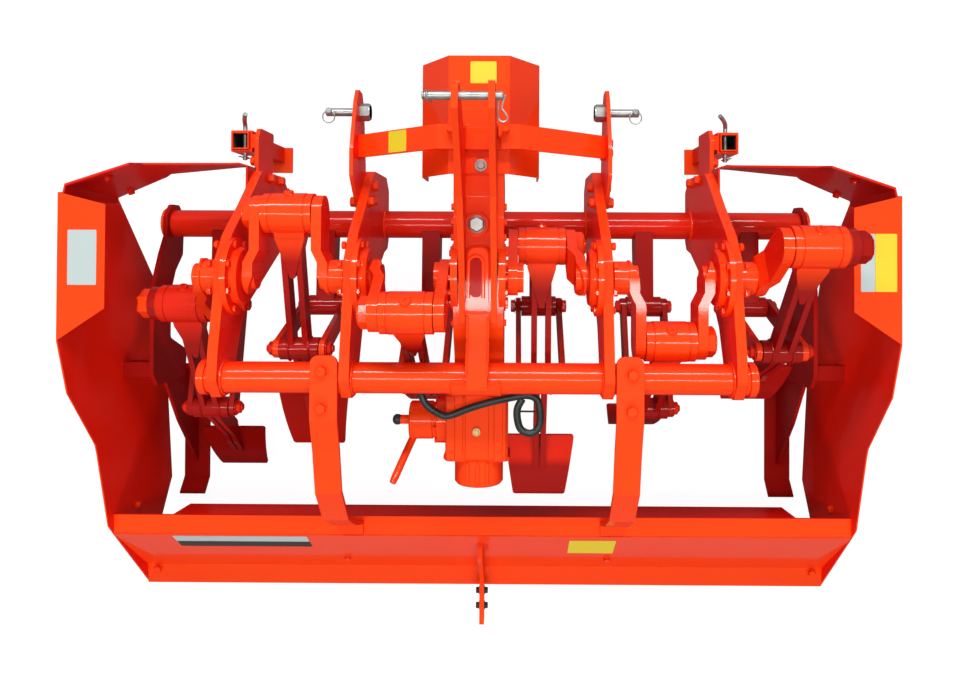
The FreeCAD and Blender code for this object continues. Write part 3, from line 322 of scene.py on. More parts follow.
class Piece:
    # gathers forms with one finish on one body, then makes them one mesh
    def __init__(self, name, finish, body="frame", slot="red_paint"):
        self.name, self.finish, self.body, self.slotName = name, finish, body, slot
        self.points, self.faces, self.count = [], [], 0

    def grid(self, rings, closed=False):
        # rings is (stations, around, 3): quads between neighbours, flat ends unless closed
        stations, around = rings.shape[:2]
        rows = stations if closed else stations - 1
        row, column = np.meshgrid(np.arange(rows), np.arange(around), indexing="ij")
        nextRow, nextColumn = (row + 1) % stations, (column + 1) % around
        quads = np.stack([row * around + column, row * around + nextColumn,
                          nextRow * around + nextColumn, nextRow * around + column], -1)
        self.faces += (quads.reshape(-1, 4) + self.count).tolist()
        if not closed:
            ring = np.arange(around)
            self.faces.append((ring[::-1] + self.count).tolist())
            self.faces.append((ring + (stations - 1) * around + self.count).tolist())
        self.points.append(rings.reshape(-1, 3))
        self.count += stations * around

    def turned(self, place, axis, profile, sides=24):
        # place + along * axis + radius * (cos, sin) round the axis; profile in millimetres
        first, second = squareTo(axis)
        along, radius = np.array(profile, dtype=float).T / 1000
        angle = np.arange(sides) * 2 * math.pi / sides
        ring = np.cos(angle)[:, None] * first + np.sin(angle)[:, None] * second
        self.grid(place + along[:, None, None] * unit(axis) + radius[:, None, None] * ring)

    def swept(self, path, radius, normal, sides=10, closed=False):
        # a circle carried along a path, its first direction square to the path and to normal
        path = np.asarray(path, dtype=float)
        tangent = unit(np.roll(path, -1, 0) - np.roll(path, 1, 0)) if closed else unit(
            np.gradient(path, axis=0))
        first = unit(np.cross(np.asarray(normal, dtype=float), tangent))
        second = np.cross(tangent, first)
        angle = np.arange(sides) * 2 * math.pi / sides
        radius = np.broadcast_to(np.asarray(radius, dtype=float) / 1000, len(path))
        ring = (np.cos(angle)[:, None] * first[:, None, :]
                + np.sin(angle)[:, None] * second[:, None, :])
        self.grid(path[:, None, :] + radius[:, None, None] * ring, closed)

    def slab(self, middle, wide, long, size, thick, corner=3, edge=0.3):
        # a rounded rectangle raised along wide x long; its rim drawn in by the edge at the top
        wide, long = unit(wide), unit(long)
        normal = np.cross(wide, long)
        angle = np.arange(32) * 2 * math.pi / 32 + math.pi / 32
        turn = np.stack([np.cos(angle), np.sin(angle)], -1)
        rim = np.array([(0, 0), (thick - edge, 0), (thick, edge)])
        half = np.array(size) / 2
        flat = (np.sign(turn)[None] * (half - corner)
                + turn[None] * (corner - rim[:, 1])[:, None, None]) / 1000
        self.grid(middle + flat[..., :1] * wide + flat[..., 1:] * long
                  + rim[:, 0][:, None, None] / 1000 * normal)

    def bolt(self, place, axis, flats, height, washer=0.0):
        # a six-sided head with its rim turned off, on a round washer
        reach = flats / math.sqrt(3)
        lift = 0.0
        if washer:
            lift = 2.2
            self.turned(place, axis, [(0, washer / 2), (lift - 0.5, washer / 2),
                                      (lift, washer / 2 - 0.5)], 20)
        self.turned(place, axis, [(lift, reach), (lift + height * 0.8, reach),
                                  (lift + height, reach * 0.87)], 6)

    def boltRing(self, middle, axis, radius, count, flats, height, turn=0.0):
        first, second = squareTo(axis)
        for angle in np.arange(count) * 2 * math.pi / count + turn:
            way = math.cos(angle) * first + math.sin(angle) * second
            self.bolt(middle + radius / 1000 * way, axis, flats, height)

    def seam(self, middle, axis, radius, thick=4.0):
        # a weld round a tube: a ring whose thickness ripples as it goes round
        first, second = squareTo(axis)
        angle = np.arange(120) * 2 * math.pi / 120
        path = middle + radius / 1000 * (np.cos(angle)[:, None] * first
                                         + np.sin(angle)[:, None] * second)
        self.swept(path, thick * (1 + 0.14 * np.sin(angle * 40)), axis, 8, closed=True)

    def run(self, start, end, normal, thick=3.5):
        # a straight weld with the same ripple
        length = np.linalg.norm(np.subtract(end, start))
        share = np.linspace(0, 1, max(int(length * 400), 8))
        taper = np.minimum(1, np.minimum(share, 1 - share) * 12 + 0.4)
        self.swept(start + share[:, None] * np.subtract(end, start),
                   thick * taper * (1 + 0.14 * np.sin(share * length * 1500)), normal, 8)

    def make(self):
        mesh = bpy.data.meshes.new(self.name)
        mesh.from_pydata(np.concatenate(self.points).tolist(), [], self.faces)
        mesh.materials.append(self.finish)
        mesh.shade_smooth()
        mesh.set_sharp_from_angle(angle=math.radians(32))
        item = bpy.data.objects.new(self.name, mesh)
        bpy.context.scene.collection.objects.link(item)
        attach(item, self.body)
        return item


def smooth(points, steps=8):
    # a curve through the points: on each span the usual blend of four neighbours
    points = np.asarray(points, dtype=float)
    ends = np.vstack([2 * points[0] - points[1], points, 2 * points[-1] - points[-2]])
    share = np.linspace(0, 1, steps, endpoint=False)[None, :, None]
    before, start, end, after = (ends[i:len(ends) - 3 + i][:, None, :] for i in range(4))
    curve = 0.5 * (2 * start + (end - before) * share
                   + (2 * before - 5 * start + 4 * end - after) * share ** 2
                   + (3 * start - before - 3 * end + after) * share ** 3)
    return np.vstack([curve.reshape(-1, points.shape[1]), points[-1]])


sides = (("left", -1), ("right", 1))
print("piece maker ready")

# crank bearings: bolts round each flange, nuts on the other side of the plate
bearingLook = {
    "plates": (317.2, 633.2),
    "half": 12.5,
    "flange": 14.0,
    "circle": 85.5,
    "count": 8,
    "flats": 17.0,
    "height": 6.5,
    "nutMore": 3,          # a nut with its bolt end stands this much higher than a head
    "turn": 0.39,
}


def addBearingBolts():
    heads = Piece("bearing_bolts", paint)
    look = bearingLook
    for name, side in sides:
        for middle in look["plates"]:
            inner = spot(side * (middle - look["half"] - look["flange"]), 0, crankZ * 1000)
            outer = spot(side * (middle + look["half"]), 0, crankZ * 1000)
            heads.boltRing(inner, -side * across, look["circle"], look["count"],
                           look["flats"], look["height"], look["turn"])
            heads.boltRing(outer, side * across, look["circle"], look["count"],
                           look["flats"], look["height"] + look["nutMore"], look["turn"])
    heads.make()


# welds where the cross tubes pass through plates
weldLook = {
    "frontTube": (145.0, 230.0, 41.0),
    "rearTube": (-246.0, 693.0, 38.0),
    "thick": 4.2,
    "endPlate": 958.5,
    "endThick": 12.0,
}


def addTubeWelds():
    beads = Piece("tube_welds", paint)
    look = weldLook
    for name, side in sides:
        for plate in bearingLook["plates"]:
            for face in (plate - bearingLook["half"], plate + bearingLook["half"]):
                for ahead, height, radius in (look["frontTube"], look["rearTube"]):
                    beads.seam(spot(side * face, ahead, height), across, radius + 1.5,
                               look["thick"])
        ahead, height, radius = look["frontTube"]
        for face in (look["endPlate"], look["endPlate"] + look["endThick"]):
            beads.seam(spot(side * face, ahead, height), across, radius + 1.5, look["thick"])
    beads.make()


# spade arms and rockers: nuts on both pivots and on the crank pins, a grease boss on each housing
spadeLook = {
    "arm": 0.370,
    "rocker": 0.303,
    "barFace": 69.5,       # middle of a spade to the outer face of its rocker bars
    "flats": 32.0,
    "nutHeight": 12.0,
    "washer": 46.0,
    "boltEnd": ((0, 10), (6, 10), (7.5, 8.5)),
    "crankNutFlats": 68.0,
    "crankNutFace": 89.0,
    "crankNutHeights": (24.6, 24.6, 33.6),      # by rank, from the middle outward
    "crankBoltEnd": ((-1, 20), (3, 20), (4, 18.5)),
    "boss": ((0, 15), (3, 13), (7, 13), (8, 12)),
    "bossPlace": 0.0495,
    "nipple": ((0, 4.5), (3, 4.5), (3.4, 3), (6, 3), (7.5, 1.6)),
    "nipplePlace": 0.0570,
    "hubSeam": (0.0268, 31, 3.0),
}


def upperPivot(pin, pivot):
    # where the arm and the rocker meet: two circles cross behind the line between their middles
    arm, rocker = spadeLook["arm"], spadeLook["rocker"]
    span = pin - pivot
    gap = np.linalg.norm(span)
    along = (rocker ** 2 - arm ** 2 + gap ** 2) / (2 * gap)
    aside = math.sqrt(rocker ** 2 - along ** 2)
    return pivot + span / gap * along + np.array((0, -span[2], span[1])) / gap * aside


def addSpadeFittings():
    look = spadeLook
    for number in range(1, 7):
        pin = joints["spade_%d_crank_pin" % number]
        pivot = joints["rocker_%d_pivot" % number]
        hub = upperPivot(pin, pivot)
        reach = unit(pin - hub)
        # the rocker nuts take the half-shaded copy: painted shade
        nuts = Piece("rocker_%d_nuts" % number, halfShadedPaint, "rocker_%d" % number)
        for side in (-1, 1):
            if not (number == 3 and side > 0):
                nuts.bolt(hub + side * look["barFace"] / 1000 * across, side * across,
                          look["flats"], look["nutHeight"], look["washer"])
                nuts.turned(hub + side * (look["barFace"] + look["nutHeight"]) / 1000 * across,
                            side * across, look["boltEnd"], 16)
            nuts.bolt(pivot + side * look["barFace"] / 1000 * across, side * across,
                      look["flats"], look["nutHeight"], look["washer"])
        nuts.make()
        # the grease boss takes its arm's paint, painted shade included
        boss = Piece("spade_%d_grease_boss" % number, armShadePaint["spade_arm_%d" % number],
                     "spade_%d" % number)
        boss.turned(pin + reach * look["bossPlace"], reach, look["boss"])
        aside, radius, thick = look["hubSeam"]
        for side in (-1, 1):
            boss.seam(hub + side * aside * across, across, radius, thick)
        boss.turned(pin + reach * look["nipplePlace"], reach, look["nipple"], 12)
        boss.make()
    inner = Piece("crank_nuts", paint, "crankshaft")
    # the crank's end nut takes the shaded copy: painted shade
    outer = Piece("crank_end_nut", shadedPaint, "crankshaft")
    for number in range(1, 7):
        side = -1 if number < 4 else 1
        pin = joints["spade_%d_crank_pin" % number]
        height = look["crankNutHeights"][3 - number if side < 0 else number - 4]
        place = pin + side * look["crankNutFace"] / 1000 * across
        nuts = outer if number == 6 else inner
        nuts.bolt(place, side * across, look["crankNutFlats"], height)
        nuts.turned(place + side * height / 1000 * across, side * across,
                    look["crankBoltEnd"], 24)
    inner.make()
    outer.make()


addBearingBolts()
addTubeWelds()
addSpadeFittings()
print("crank, spade and tube fittings made")

# hitch: hex heads of the lower pins, plate bolts, linch pins, top link pin with its clip
hitchLook = {
    "face": 340.0,
    "plate": 10.0,
    "pin": (440.0, 502.0),
    "headFlats": 42.5,
    "headHeight": 27.3,
    "plateBolts": ((197, 505), (204, 452), (244, 446)),
    "braceBolts": ((330, 522), (356, 522)),
    "plateHead": (24.0, 12, 34),
    "plateHeadFace": 304.7,
    "plateNut": (24.0, 13, 32),
    "braceHead": (19, 9, 26),
    "braceHeadFace": 319.7,
    "collar": ((0, 17), (3, 17), (3.6, 16)),
    "tip": 411.0,
    "linchShank": ((0, 4.6), (1, 5.2), (43, 5.2), (47, 3.6)),
    "linchHead": ((0, 6.5), (1.5, 8), (10, 8), (11, 7)),
    "linchRing": (16, 1.9),
    "topPin": (396.0, 962.0),
    "topHead": (-106, ((0, 9), (3, 8.6), (4, 7))),
    "topEnd": (59, ((0, 9.4), (3, 8.6), (4.5, 6.5))),
    "topClip": (52, 2.1),
    "topSeam": (-99, 9.5, 2.2),
}


def ringPath(middle, first, second, radius, count=48, start=0.0, sweep=2 * math.pi):
    angle = start + np.arange(count) * sweep / (count if sweep > 6.2 else count - 1)
    return middle + radius / 1000 * (np.cos(angle)[:, None] * first
                                     + np.sin(angle)[:, None] * second)


def clipPath(place, out, aside):
    # a spring clip of wire: one straight leg, a round eye, one waved leg, in out x aside
    flat = np.array([(-12, 0), (0, 0), (22, 0), (36, 0), (45, 3), (50, 11), (45, 19), (36, 19),
                     (29, 14), (20, 8), (10, 10), (0, 13), (-8, 16)]) / 1000
    return place + smooth(flat, 6) @ np.array([out, aside])


def addHitch():
    look = hitchLook
    heads = Piece("hitch_bolts", paint)
    shine = Piece("hitch_pins", zinc, slot="zinc")
    for name, side in sides:
        ahead, height = look["pin"]
        inner = spot(side * (look["face"] - look["plate"]), ahead, height)
        shine.bolt(inner, -side * across, look["headFlats"], look["headHeight"])
        shine.turned(spot(side * look["face"], ahead, height), side * across, look["collar"])
        tip = spot(side * look["tip"], ahead, height)
        shine.turned(tip + 0.022 * upward, -upward, look["linchShank"], 16)
        shine.turned(tip + 0.030 * upward, -upward, look["linchHead"], 16)
        radius, wire = look["linchRing"]
        shine.swept(ringPath(tip + 0.024 * upward - 0.016 * forward, across, forward, radius), wire,
                    upward, 8, closed=True)
        for ahead, height in look["plateBolts"]:
            heads.bolt(spot(side * look["plateHeadFace"], ahead, height), -side * across,
                       *look["plateHead"])
            heads.bolt(spot(side * look["face"], ahead, height), side * across,
                       *look["plateNut"])
        for ahead, height in look["braceBolts"]:
            heads.bolt(spot(side * look["face"], ahead, height), side * across,
                       *look["braceHead"])
            heads.bolt(spot(side * look["braceHeadFace"], ahead, height), -side * across,
                       *look["braceHead"])
    heads.make()
    ahead, height = look["topPin"]
    for (out, profile), way in ((look["topHead"], -across), (look["topEnd"], across)):
        shine.turned(spot(out, ahead, height), way, profile)
    out, wire = look["topClip"]
    shine.swept(clipPath(spot(out, ahead - 6, height), -forward, across), wire, upward, 8)
    out, radius, thick = look["topSeam"]
    shine.seam(spot(out, ahead, height), across, radius, thick)
    shine.make()


addHitch()

# parking legs: a cross pin with a turned-up handle ahead and a clip behind, and plate bolts
legLook = {
    "side": 706.0,
    "ahead": 382.0,
    "height": 318.0,
    "pinRadius": 6.5,
    "lean": {"left": 15.0, "right": -27.0},     # of the handle's tip, to the right
    # handle: ahead of the pin's rear end, share of the lean, above the pin
    "rise": ((100, 0.00, 2), (110, 0.12, 12), (119, 0.50, 30), (128, 1.00, 46)),
    "back": 52,            # rear end of the pin behind the middle of its leg
    "clipWire": 1.9,
    "plateBolts": ((272, 262), (272, 356), (322, 366)),
    "plateFace": 658.0,
    "plateHead": (24, 12, 34),
    "nutFace": 620.7,
    "nut": (24, 13, 32),
    "nutsBehind": 300,     # only bolts behind this have a nut inside
}


def addLegFittings():
    look = legLook
    shine = Piece("leg_pins", zinc, slot="zinc")
    heads = Piece("stand_bolts", paint)
    for name, side in sides:
        back = spot(side * look["side"], look["ahead"] - look["back"], look["height"])
        handle = [back + np.array((share * look["lean"][name], ahead, height)) / 1000
                  for ahead, share, height in look["rise"]]
        route = smooth([back, back + 0.03 * forward, back + 0.080 * forward] + handle, 6)
        shine.swept(route, look["pinRadius"], across, 12)
        shine.swept(clipPath(back + 0.010 * forward, -upward, side * across), look["clipWire"],
                    forward, 8)
        for ahead, height in look["plateBolts"]:
            heads.bolt(spot(side * look["plateFace"], ahead, height), side * across,
                       *look["plateHead"])
            if ahead < look["nutsBehind"]:
                heads.bolt(spot(side * look["nutFace"], ahead, height), -side * across,
                           *look["nut"])
    shine.make()
    heads.make()


addLegFittings()
print("hitch and leg fittings made")

# mast: lugs with bolts beside the plates, a plug on the gearbox, an arch, welds, a saddle
mastLook = {
    "lug": (359.0, 742.0),
    "lugSize": (44.0, 38.0),
    "lugFaces": (49.0, 57.0),
    "guardBolt": (5.0, 276.0, 703.0),
    "plug": (-4.0, 131.5, 690.0),
    "archHalf": 18.0,
    "arch": ((-48, 712), (34, 712)),
    "block": (0.0, 34.0, 690.3),
    "blockSize": (61.0, 92.0),
    "crossWeld": (-84.0, 711.5),
    "sideWelds": ((-90, 711), (-150, 711), (-205, 747), (-232, 748)),
    "neckHalf": 25.0,
    "saddle": (-61.0, 116.0, 38.3, 42.5),
    "rearTube": (-246.0, 693.0),
    "coverBolts": (67.0, 70.0, 12),
    "sideBolts": ((176, 668), (138, 672), (100, 676), (-112, 668)),
}


def addMastFittings():
    look = mastLook
    forms = Piece("mast_fittings", paint)
    shine = Piece("gearbox_plugs", zinc, slot="zinc")
    inner, outer = look["lugFaces"]
    for name, side in sides:
        ahead, height = look["lug"]
        start = inner if side > 0 else -outer
        forms.slab(spot(start, ahead, height), forward, upward, look["lugSize"], outer - inner, 10)
        forms.bolt(spot(side * outer, ahead, height + 3), side * across, 24, 13, 32)
        forms.turned(spot(side * (outer + 13), ahead, height + 3), side * across,
                     [(0, 8), (5, 8), (6, 7)], 16)
        place, radius, count = look["coverBolts"]
        forms.boltRing(spot(side * place, 0, crankZ * 1000), side * across, radius, count, 15, 6)
        for ahead, height in look["sideBolts"]:
            forms.bolt(spot(side * 62, ahead, height), side * across, 15, 5, 20)
        route = [spot(side * (look["neckHalf"] + 0.5), ahead, height)
                 for ahead, height in look["sideWelds"]]
        for start, end in zip(route, route[1:]):
            forms.run(start, end, across, 3.6)
    place = spot(*look["plug"])
    forms.turned(place, upward, [(0, 31), (7, 31), (9, 28)], 40)
    shine.turned(place + 0.009 * upward, upward, [(0, 22), (2.2, 22), (2.8, 21)], 32)
    shine.bolt(place + 0.0118 * upward, upward, 34, 13)
    shine.bolt(spot(*look["guardBolt"]), upward, 19, 9, 31)
    half = look["archHalf"]
    forms.slab(spot(*look["block"]), across, forward, look["blockSize"], 20.6, 24, 6)
    left = [spot(-5 - half, ahead, height) for ahead, height in look["arch"]]
    right = [spot(-5 + half, ahead, height) for ahead, height in look["arch"]]
    crown = ringPath(spot(-5, look["arch"][1][0] + 2, look["arch"][1][1]), forward, -across,
                     half, 14, math.pi / 2, -math.pi)
    forms.swept(np.vstack([smooth(left, 4), crown, smooth(right[::-1], 4)]), 4.5, upward, 10)
    ahead, height = look["crossWeld"]
    forms.run(spot(-34, ahead, height - 1), spot(24, ahead, height - 1), upward, 3.6)
    start, length, inner, outer = look["saddle"]
    angle = np.radians(np.linspace(92, 205, 24))
    reach = np.concatenate([np.full(24, outer), np.full(24, inner)]) / 1000
    angle = np.concatenate([angle, angle[::-1]])
    ring = np.cos(angle)[:, None] * forward + np.sin(angle)[:, None] * upward
    ends = np.stack([spot(start, *look["rearTube"]), spot(start + length, *look["rearTube"])])
    forms.grid(ends[:, None, :] + reach[:, None] * ring)
    for side in (start, start + length):
        forms.swept(spot(side, *look["rearTube"]) + 0.0405 * ring[1:23], 3.2, across, 8)
    for begin, end in ((start, -26), (26, start + length)):
        forms.run(spot(begin, -248, 738), spot(end, -248, 738), upward, 3.2)
    forms.make()
    shine.make()
    # a thin sheet of the shaded copy under the arch: painted shade
    shade = Piece("mast_arch_shade_sheet", shadedPaint)
    shade.slab(spot(-5, 1, 710.6), across, forward, (31, 96), 0.9, 15)
    shade.make()


addMastFittings()

# gear housing: rounded case with ribs along its top, a flange, a ribbed boss, a filler plug
gearLook = {
    "case": (-7.0, -389.0, 478.0),
    "caseSize": (162.0, 177.0),
    "caseTall": 119.0,
    "ribs": ((-74, 22), (-39, 7), (31, 15), (64, 9)),
    "ribLength": 162.0,
    "back": (-7.0, -468.0, 530.0),
    "backSize": (174.0, 122.0),
    "backThick": 11.0,
    "bossMiddle": (-3.0, -476.0, 530.0),
    "boss": ((0, 60), (3, 64), (64, 64), (70, 59)),
    "nub": ((66, 14), (76, 14), (79, 11)),
    "bossRibs": ((-30, 588), (-4, 594), (20, 590)),
    "bossRibSize": (9, 56),
    "bossRibAhead": -510,
    "plug": (-7.0, -400.0, 597.0),
}


def brassPlate():
    shader = Shader("brassPlate")
    shader.set(Base_Color=(0.75, 0.56, 0.24, 1), Metallic=0.8,
               Roughness=shader.noise(50.0) * 0.2 + 0.25)
    return shader.material


def addGearHousing():
    look = gearLook
    forms = Piece("gear_housing_case", paint)
    case, top = spot(*look["case"]), look["case"][2] + look["caseTall"]
    forms.slab(case, across, forward, look["caseSize"], look["caseTall"], 14, 7)
    for side, width in look["ribs"]:
        forms.slab(spot(side, look["case"][1], top), across, forward,
                   (width, look["ribLength"]), 4, 3, 1.5)
    forms.slab(spot(*look["back"]), across, upward, look["backSize"], look["backThick"], 22, 4)
    for profile in (look["boss"], look["nub"]):
        forms.turned(spot(*look["bossMiddle"]), -forward, profile, 48)
    for side, height in look["bossRibs"]:
        forms.slab(spot(side, look["bossRibAhead"], height - 2), across, forward,
                   look["bossRibSize"], 7, 3, 1.5)
    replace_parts(forms.make(), "gear_housing")
    brass = Piece("gear_housing_plug", brassPlate(), slot="zinc")
    brass.turned(spot(*look["plug"]), upward,
                 [(0, 11), (3, 11), (4, 10), (4, 7), (7, 7), (8, 6)], 24)
    brass.make()


# gear lever: a straight rod out of the selector, its end rounded
leverLook = {
    "route": ((-158, -404, 519), (-178, -430, 526), (-221, -529, 606)),
    "radius": 10.0,
}


def addLever():
    look = leverLook
    route = smooth([spot(*step) for step in look["route"]], 8)
    radius = np.full(len(route), look["radius"])
    radius[-1] = look["radius"] * 0.85
    lever = Piece("gear_lever_rod", paint)
    lever.swept(route, radius, across, 16)
    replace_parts(lever.make(), "gear_lever")


# selector: a round casting on a bolted flange, with a short spigot and a dark knob
selectorLook = {
    "place": (-385.0, 520.0),
    "casting": ((-88.3, 60), (-112, 60), (-114, 58), (-114, 47), (-124, 47), (-126, 50), (-183, 50),
                (-187, 46)),
    "spigot": ((-186, 12), (-213, 12)),
    "knob": ((-210, 8), (-213, 12), (-218, 14), (-226, 14), (-231, 11), (-234, 6)),
    "bolts": (-113.0, 53.0, 6),
}


def addSelector():
    look = selectorLook
    place = spot(0, *look["place"])
    casting = Piece("selector_casting", paint)
    for profile in (look["casting"], look["spigot"]):
        casting.turned(place, -across, [(-side, radius) for side, radius in profile], 48)
    face, radius, count = look["bolts"]
    casting.boltRing(place + face / 1000 * across, -across, radius, count, 13, 8, 0.3)
    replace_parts(casting.make(), "selector_housing")
    knob = Piece("selector_knob", dark, slot="dark_coating")
    knob.turned(place, -across, [(-side, radius) for side, radius in look["knob"]], 24)
    knob.make()


# shaft hook: one rod from under the rear tube, curled back to itself, with a thin cross wire
hookLook = {
    "height": 633.0,
    "radius": 9.5,
    "start": (-147, -262, 652),
    "route": ((-147, -293), (-132, -324), (-99, -347), (-73.5, -350.6), (-23, -331.6),
              (28, -316.4), (78.6, -305), (121.7, -298.6), (147, -308.8), (154.7, -336.6),
              (154.7, -370), (144, -389), (126, -394), (106, -383), (98, -358),
              (98, -332), (110, -308)),
    "wire": ((97, -339), (147, -339)),
    "wireRadius": 2.4,
}


def addHook():
    look = hookLook
    hook = Piece("shaft_hook_rod", dark, slot="dark_coating")
    route = [spot(*look["start"])] + [spot(*step, look["height"]) for step in look["route"]]
    hook.swept(smooth(route, 5), look["radius"], upward, 14)
    hook.swept([spot(*end, look["height"]) for end in look["wire"]],
               look["wireRadius"], upward, 8)
    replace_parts(hook.make(), "shaft_holder_hook")


addGearHousing()
addLever()
addSelector()
addHook()
print("mast, gearbox and hook fittings made")

# shields, hood and straps: bolts, black bolts on the rear tab
bodyLook = {
    "strapBolts": ((-372, -223), (-373, -312), (373, -228), (371, -315)),
    "strapTop": 741.3,
    "shieldFace": 1046.0,
    "shieldBolt": (-707, 250),
    "hoodBolts": (-410, 372),
    "hoodFace": (-860.8, 241.8),
    "hoodTilt": (0, -211, 168),
    "cornerBolt": (1012, -925, 179),
    "tabBolts": ((-975, 203), (-1021, 203)),
    "tabFaces": (1, -13),
    "strapHead": (24, 11, 34),
    "shieldHead": (17, 9, 26),
    "cornerHead": (19, 9, 28),
    "hoodHead": (17, 7, 26),
    "tabHead": (17, 9, 24),
}


def addBodyFittings():
    look = bodyLook
    heads = Piece("body_bolts", paint)
    for side, ahead in look["strapBolts"]:
        heads.bolt(spot(side, ahead, look["strapTop"]), upward, *look["strapHead"])
    for name, side in sides:
        heads.bolt(spot(side * look["shieldFace"], *look["shieldBolt"]), -side * across,
                   *look["shieldHead"])
        out, ahead, height = look["cornerBolt"]
        heads.bolt(spot(side * out, ahead, height), upward, *look["cornerHead"])
    for side in look["hoodBolts"]:
        heads.bolt(spot(side, *look["hoodFace"]), unit(look["hoodTilt"]), *look["hoodHead"])
    heads.make()
    black = Piece("tab_bolts", dark, slot="dark_coating")
    for ahead, height in look["tabBolts"]:
        for face, way in zip(look["tabFaces"], (across, -across)):
            black.bolt(spot(face, ahead, height), way, *look["tabHead"])
    black.make()


# front stays: a sheet bent in plan, its lower edge nearer the crank; two bolts near the shield
stayLook = {
    "plan": ((646, 226), (646, 298), (670, 306), (692, 305), (878, 291), (890, 286), (1038, 230),
             (1046, 196)),
    "lean": (0, 0, 0, 0, 8, 11, 13, 0),
    "low": (399, 399, 399, 399, 425, 423, 402, 402),
    "high": (470, 470, 470, 470, 590, 640, 666, 666),
    "thick": 6.0,
    "bolts": ((959, 251, 610), (990, 231, 425)),
    "boltWay": (-0.35, -0.94, 0),
    "head": (17, 9, 26),
}


def addStays():
    look = stayLook
    plan, low, high = (np.array(look[key], dtype=float) for key in ("plan", "low", "high"))
    lean = np.array(look["lean"], dtype=float)
    tangent = unit(np.gradient(plan, axis=0))
    inward = np.stack([tangent[:, 1], -tangent[:, 0]], -1) * look["thick"]
    for name, side in sides:
        # the stay sheets take the half-shaded copy: painted shade
        stay = Piece(name + "_stay_sheet", halfShadedPaint)
        corners = []
        for shift, height, slide in ((0, low, 1), (0, high, 0), (1, high, 0), (1, low, 1)):
            flat = plan + shift * inward
            corners.append(np.stack([side * flat[:, 0] / 1000,
                                     crankY + (flat[:, 1] - slide * lean) / 1000,
                                     height / 1000], -1))
        rings = np.stack(corners, 1)
        stay.grid(rings if side > 0 else rings[:, ::-1])
        for out, ahead, height in look["bolts"]:
            aside, back, rise = look["boltWay"]
            stay.bolt(spot(side * out, ahead, height), (aside * side, back, rise), *look["head"])
        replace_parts(stay.make(), name + "_front_stay")


# parking legs: dark sheets down the inside of each tube, painted shade
legShadeLook = {
    "half": 21.0,
    "length": 340.0,
    "middle": 182.0,
    "wide": 41.0,
    "thick": 0.4,
}


def addLegShadeSheets():
    look = legShadeLook
    walls = ((upward, forward, across), (forward, upward, -across), (across, upward, forward),
             (upward, across, -forward))
    for name, side in sides:
        # a dark sheet on each inner wall of the leg: painted shade
        shadeSheet = Piece(name + "_leg_shade_sheet", dark, name + "_leg", "dark_coating")
        middle = spot(side * legLook["side"], legLook["ahead"], look["middle"])
        for wide, long, way in walls:
            size = (look["length"], look["wide"]) if wide is upward else (
                look["wide"], look["length"])
            shadeSheet.slab(middle + look["half"] / 1000 * way, wide, long, size, look["thick"],
                        1, 0.1)
        shadeSheet.make()


# blank plates: place, size, tilt and colour
labelLook = {
    "yellow": (0.80, 0.60, 0.02, 1),
    "white": (0.48, 0.56, 0.55, 1),
    "black": (0.02, 0.02, 0.02, 1),
    "thick": 0.6,
    "plates": (
        ("guard_plate", "yellow", (10.5, 504.6, 703), (64, 54), (1, 0, 0), (0, 1, 0)),
        ("brace_plate", "yellow", (-209.5, 343, 640), (66, 54), (1, 0, 0.833), (0, 1, 0)),
        ("right_shield_plate", "yellow", (1010, 41.8, 674), (54, 144), (1, 0, 0), (0, 1, 0)),
        ("right_shield_side_plate", "white", (965, 41.8, 674), (35, 144), (1, 0, 0), (0, 1, 0)),
        ("left_shield_plate", "white", (-987.8, 45.6, 674), (72, 137), (1, 0, 0), (0, 1, 0)),
        ("hood_plate_upper", "white", (-691, -763, 365), (384, 42), (1, 0, 0), (0, 168, 211)),
        ("hood_plate_lower", "black", (-691, -790, 331), (384, 42), (1, 0, 0), (0, 168, 211)),
        ("hood_small_plate", "yellow", (317, -796, 324), (134, 108), (1, 0, 0), (0, 168, 211)),
    ),
}


def addLabels():
    finishes = {}
    for tone in ("yellow", "white", "black"):
        shader = Shader(tone + "Plate")
        shader.set(Base_Color=labelLook[tone], Roughness=0.45)
        finishes[tone] = shader.material
    for name, tone, place, size, wide, long in labelLook["plates"]:
        plate = Piece(name, finishes[tone], slot=None)
        plate.slab(spot(*place), wide, long, size, labelLook["thick"], 3, 0.2)
        plate.make()


addBodyFittings()
addStays()
addLegShadeSheets()
addLabels()
print("body fittings and blank plates made")

# camera straight above, its picture moved so that the hitch side has less room
cameraView = {
    "place": (0.0882, 0.3314, 2.616),
    "focal": 782.0,        # in steps of a 960 wide picture
    "shift": (-0.0328, -0.102),
    "turn": (0.682, 0.209, 0.288),
    "frame": 960,
    "sensor": 36.0,
}


def addCamera():
    data = bpy.data.cameras.new("camera")
    data.sensor_width = cameraView["sensor"]
    data.lens = cameraView["focal"] / cameraView["frame"] * data.sensor_width
    data.shift_x, data.shift_y = cameraView["shift"]
    item = bpy.data.objects.new("camera", data)
    item.location = cameraView["place"]
    item.rotation_euler = [math.radians(turn) for turn in cameraView["turn"]]
    bpy.context.scene.collection.objects.link(item)
    bpy.context.scene.camera = item


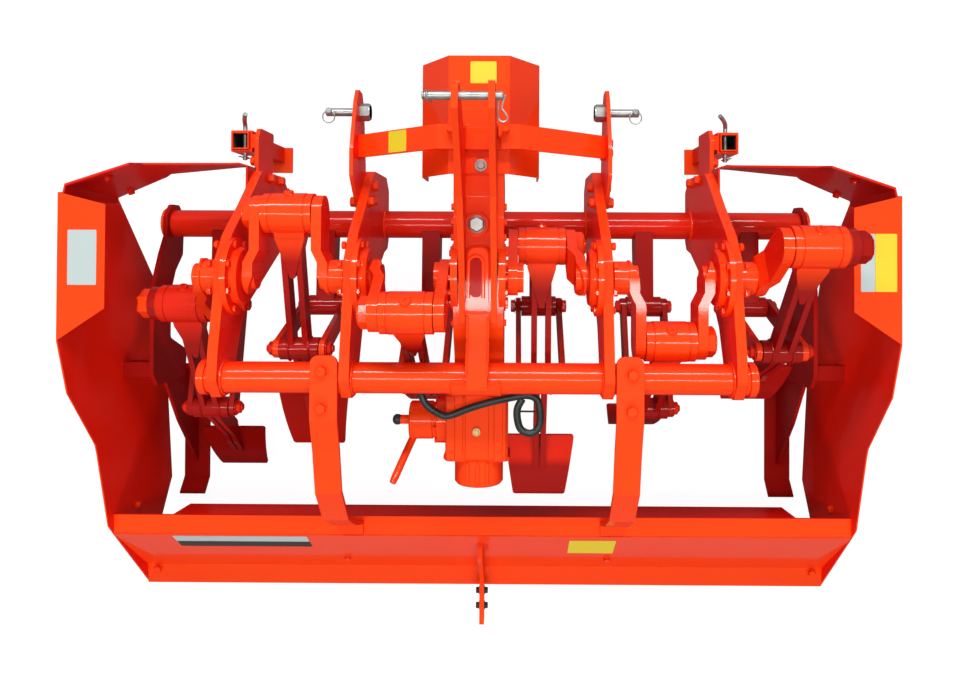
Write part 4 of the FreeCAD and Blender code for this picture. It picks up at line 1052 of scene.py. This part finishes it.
# floor and light: half-width of the floor, its grey, its glow as the camera sees it
stageLook = {
    "reach": 80,
    "grey": (0.3, 0.3, 0.3, 1),
    "glow": 1.9,
    "glowShare": 0.5,
    "world": 0.24,
}


def addFloor():
    reach = stageLook["reach"]
    mesh = bpy.data.meshes.new("floor")
    mesh.from_pydata([(-reach, -reach, 0), (reach, -reach, 0), (reach, reach, 0),
                      (-reach, reach, 0)], [], [(0, 1, 2, 3)])
    item = bpy.data.objects.new("floor", mesh)
    bpy.context.scene.collection.objects.link(item)
    shader = Shader("paleFloor")
    shader.set(Base_Color=stageLook["grey"], Roughness=0.9)
    seen = shader.node("ShaderNodeLightPath").outputs["Is Camera Ray"]
    white = shader.node("ShaderNodeEmission", Strength=stageLook["glow"])
    blend = shader.node("ShaderNodeMixShader",
                        Fac=Field(shader.tree, seen) * stageLook["glowShare"])
    shader.feed(blend.inputs[1], shader.surface.outputs[0])
    shader.feed(blend.inputs[2], white.outputs[0])
    shader.feed(shader.tree.nodes["Material Output"].inputs[0], blend.outputs[0])
    mesh.materials.append(shader.material)


def addLight(name, place, aim, size, power, mirrored=True):
    data = bpy.data.lights.new(name, "AREA")
    data.shape = "RECTANGLE"
    data.size, data.size_y = size
    data.energy = power
    item = bpy.data.objects.new(name, data)
    item.location = place
    item.visible_glossy = mirrored
    item.rotation_euler = (Vector(aim) - Vector(place)).to_track_quat("-Z", "Y").to_euler()
    bpy.context.scene.collection.objects.link(item)


def addWorld():
    world = bpy.data.worlds.new("studio")
    bpy.context.scene.world = world
    world.use_nodes = True
    ground = world.node_tree.nodes["Background"]
    ground.inputs["Color"].default_value = (1, 1, 1, 1)
    ground.inputs["Strength"].default_value = stageLook["world"]


addCamera()
addFloor()
addWorld()
addLight("overhead", (0, 0.0, 4.4), (0, 0, 0), (4.6, 0.2), 66)
addLight("ahead", (0, 3.6, 3.6), (0, 0.2, 0.3), (4.6, 0.35), 165)
addLight("behind", (0, -3.4, 3.2), (0, 0, 0.3), (4.6, 1.0), 110, mirrored=False)
bpy.context.scene.view_settings.view_transform = "Standard"
print("stage set")
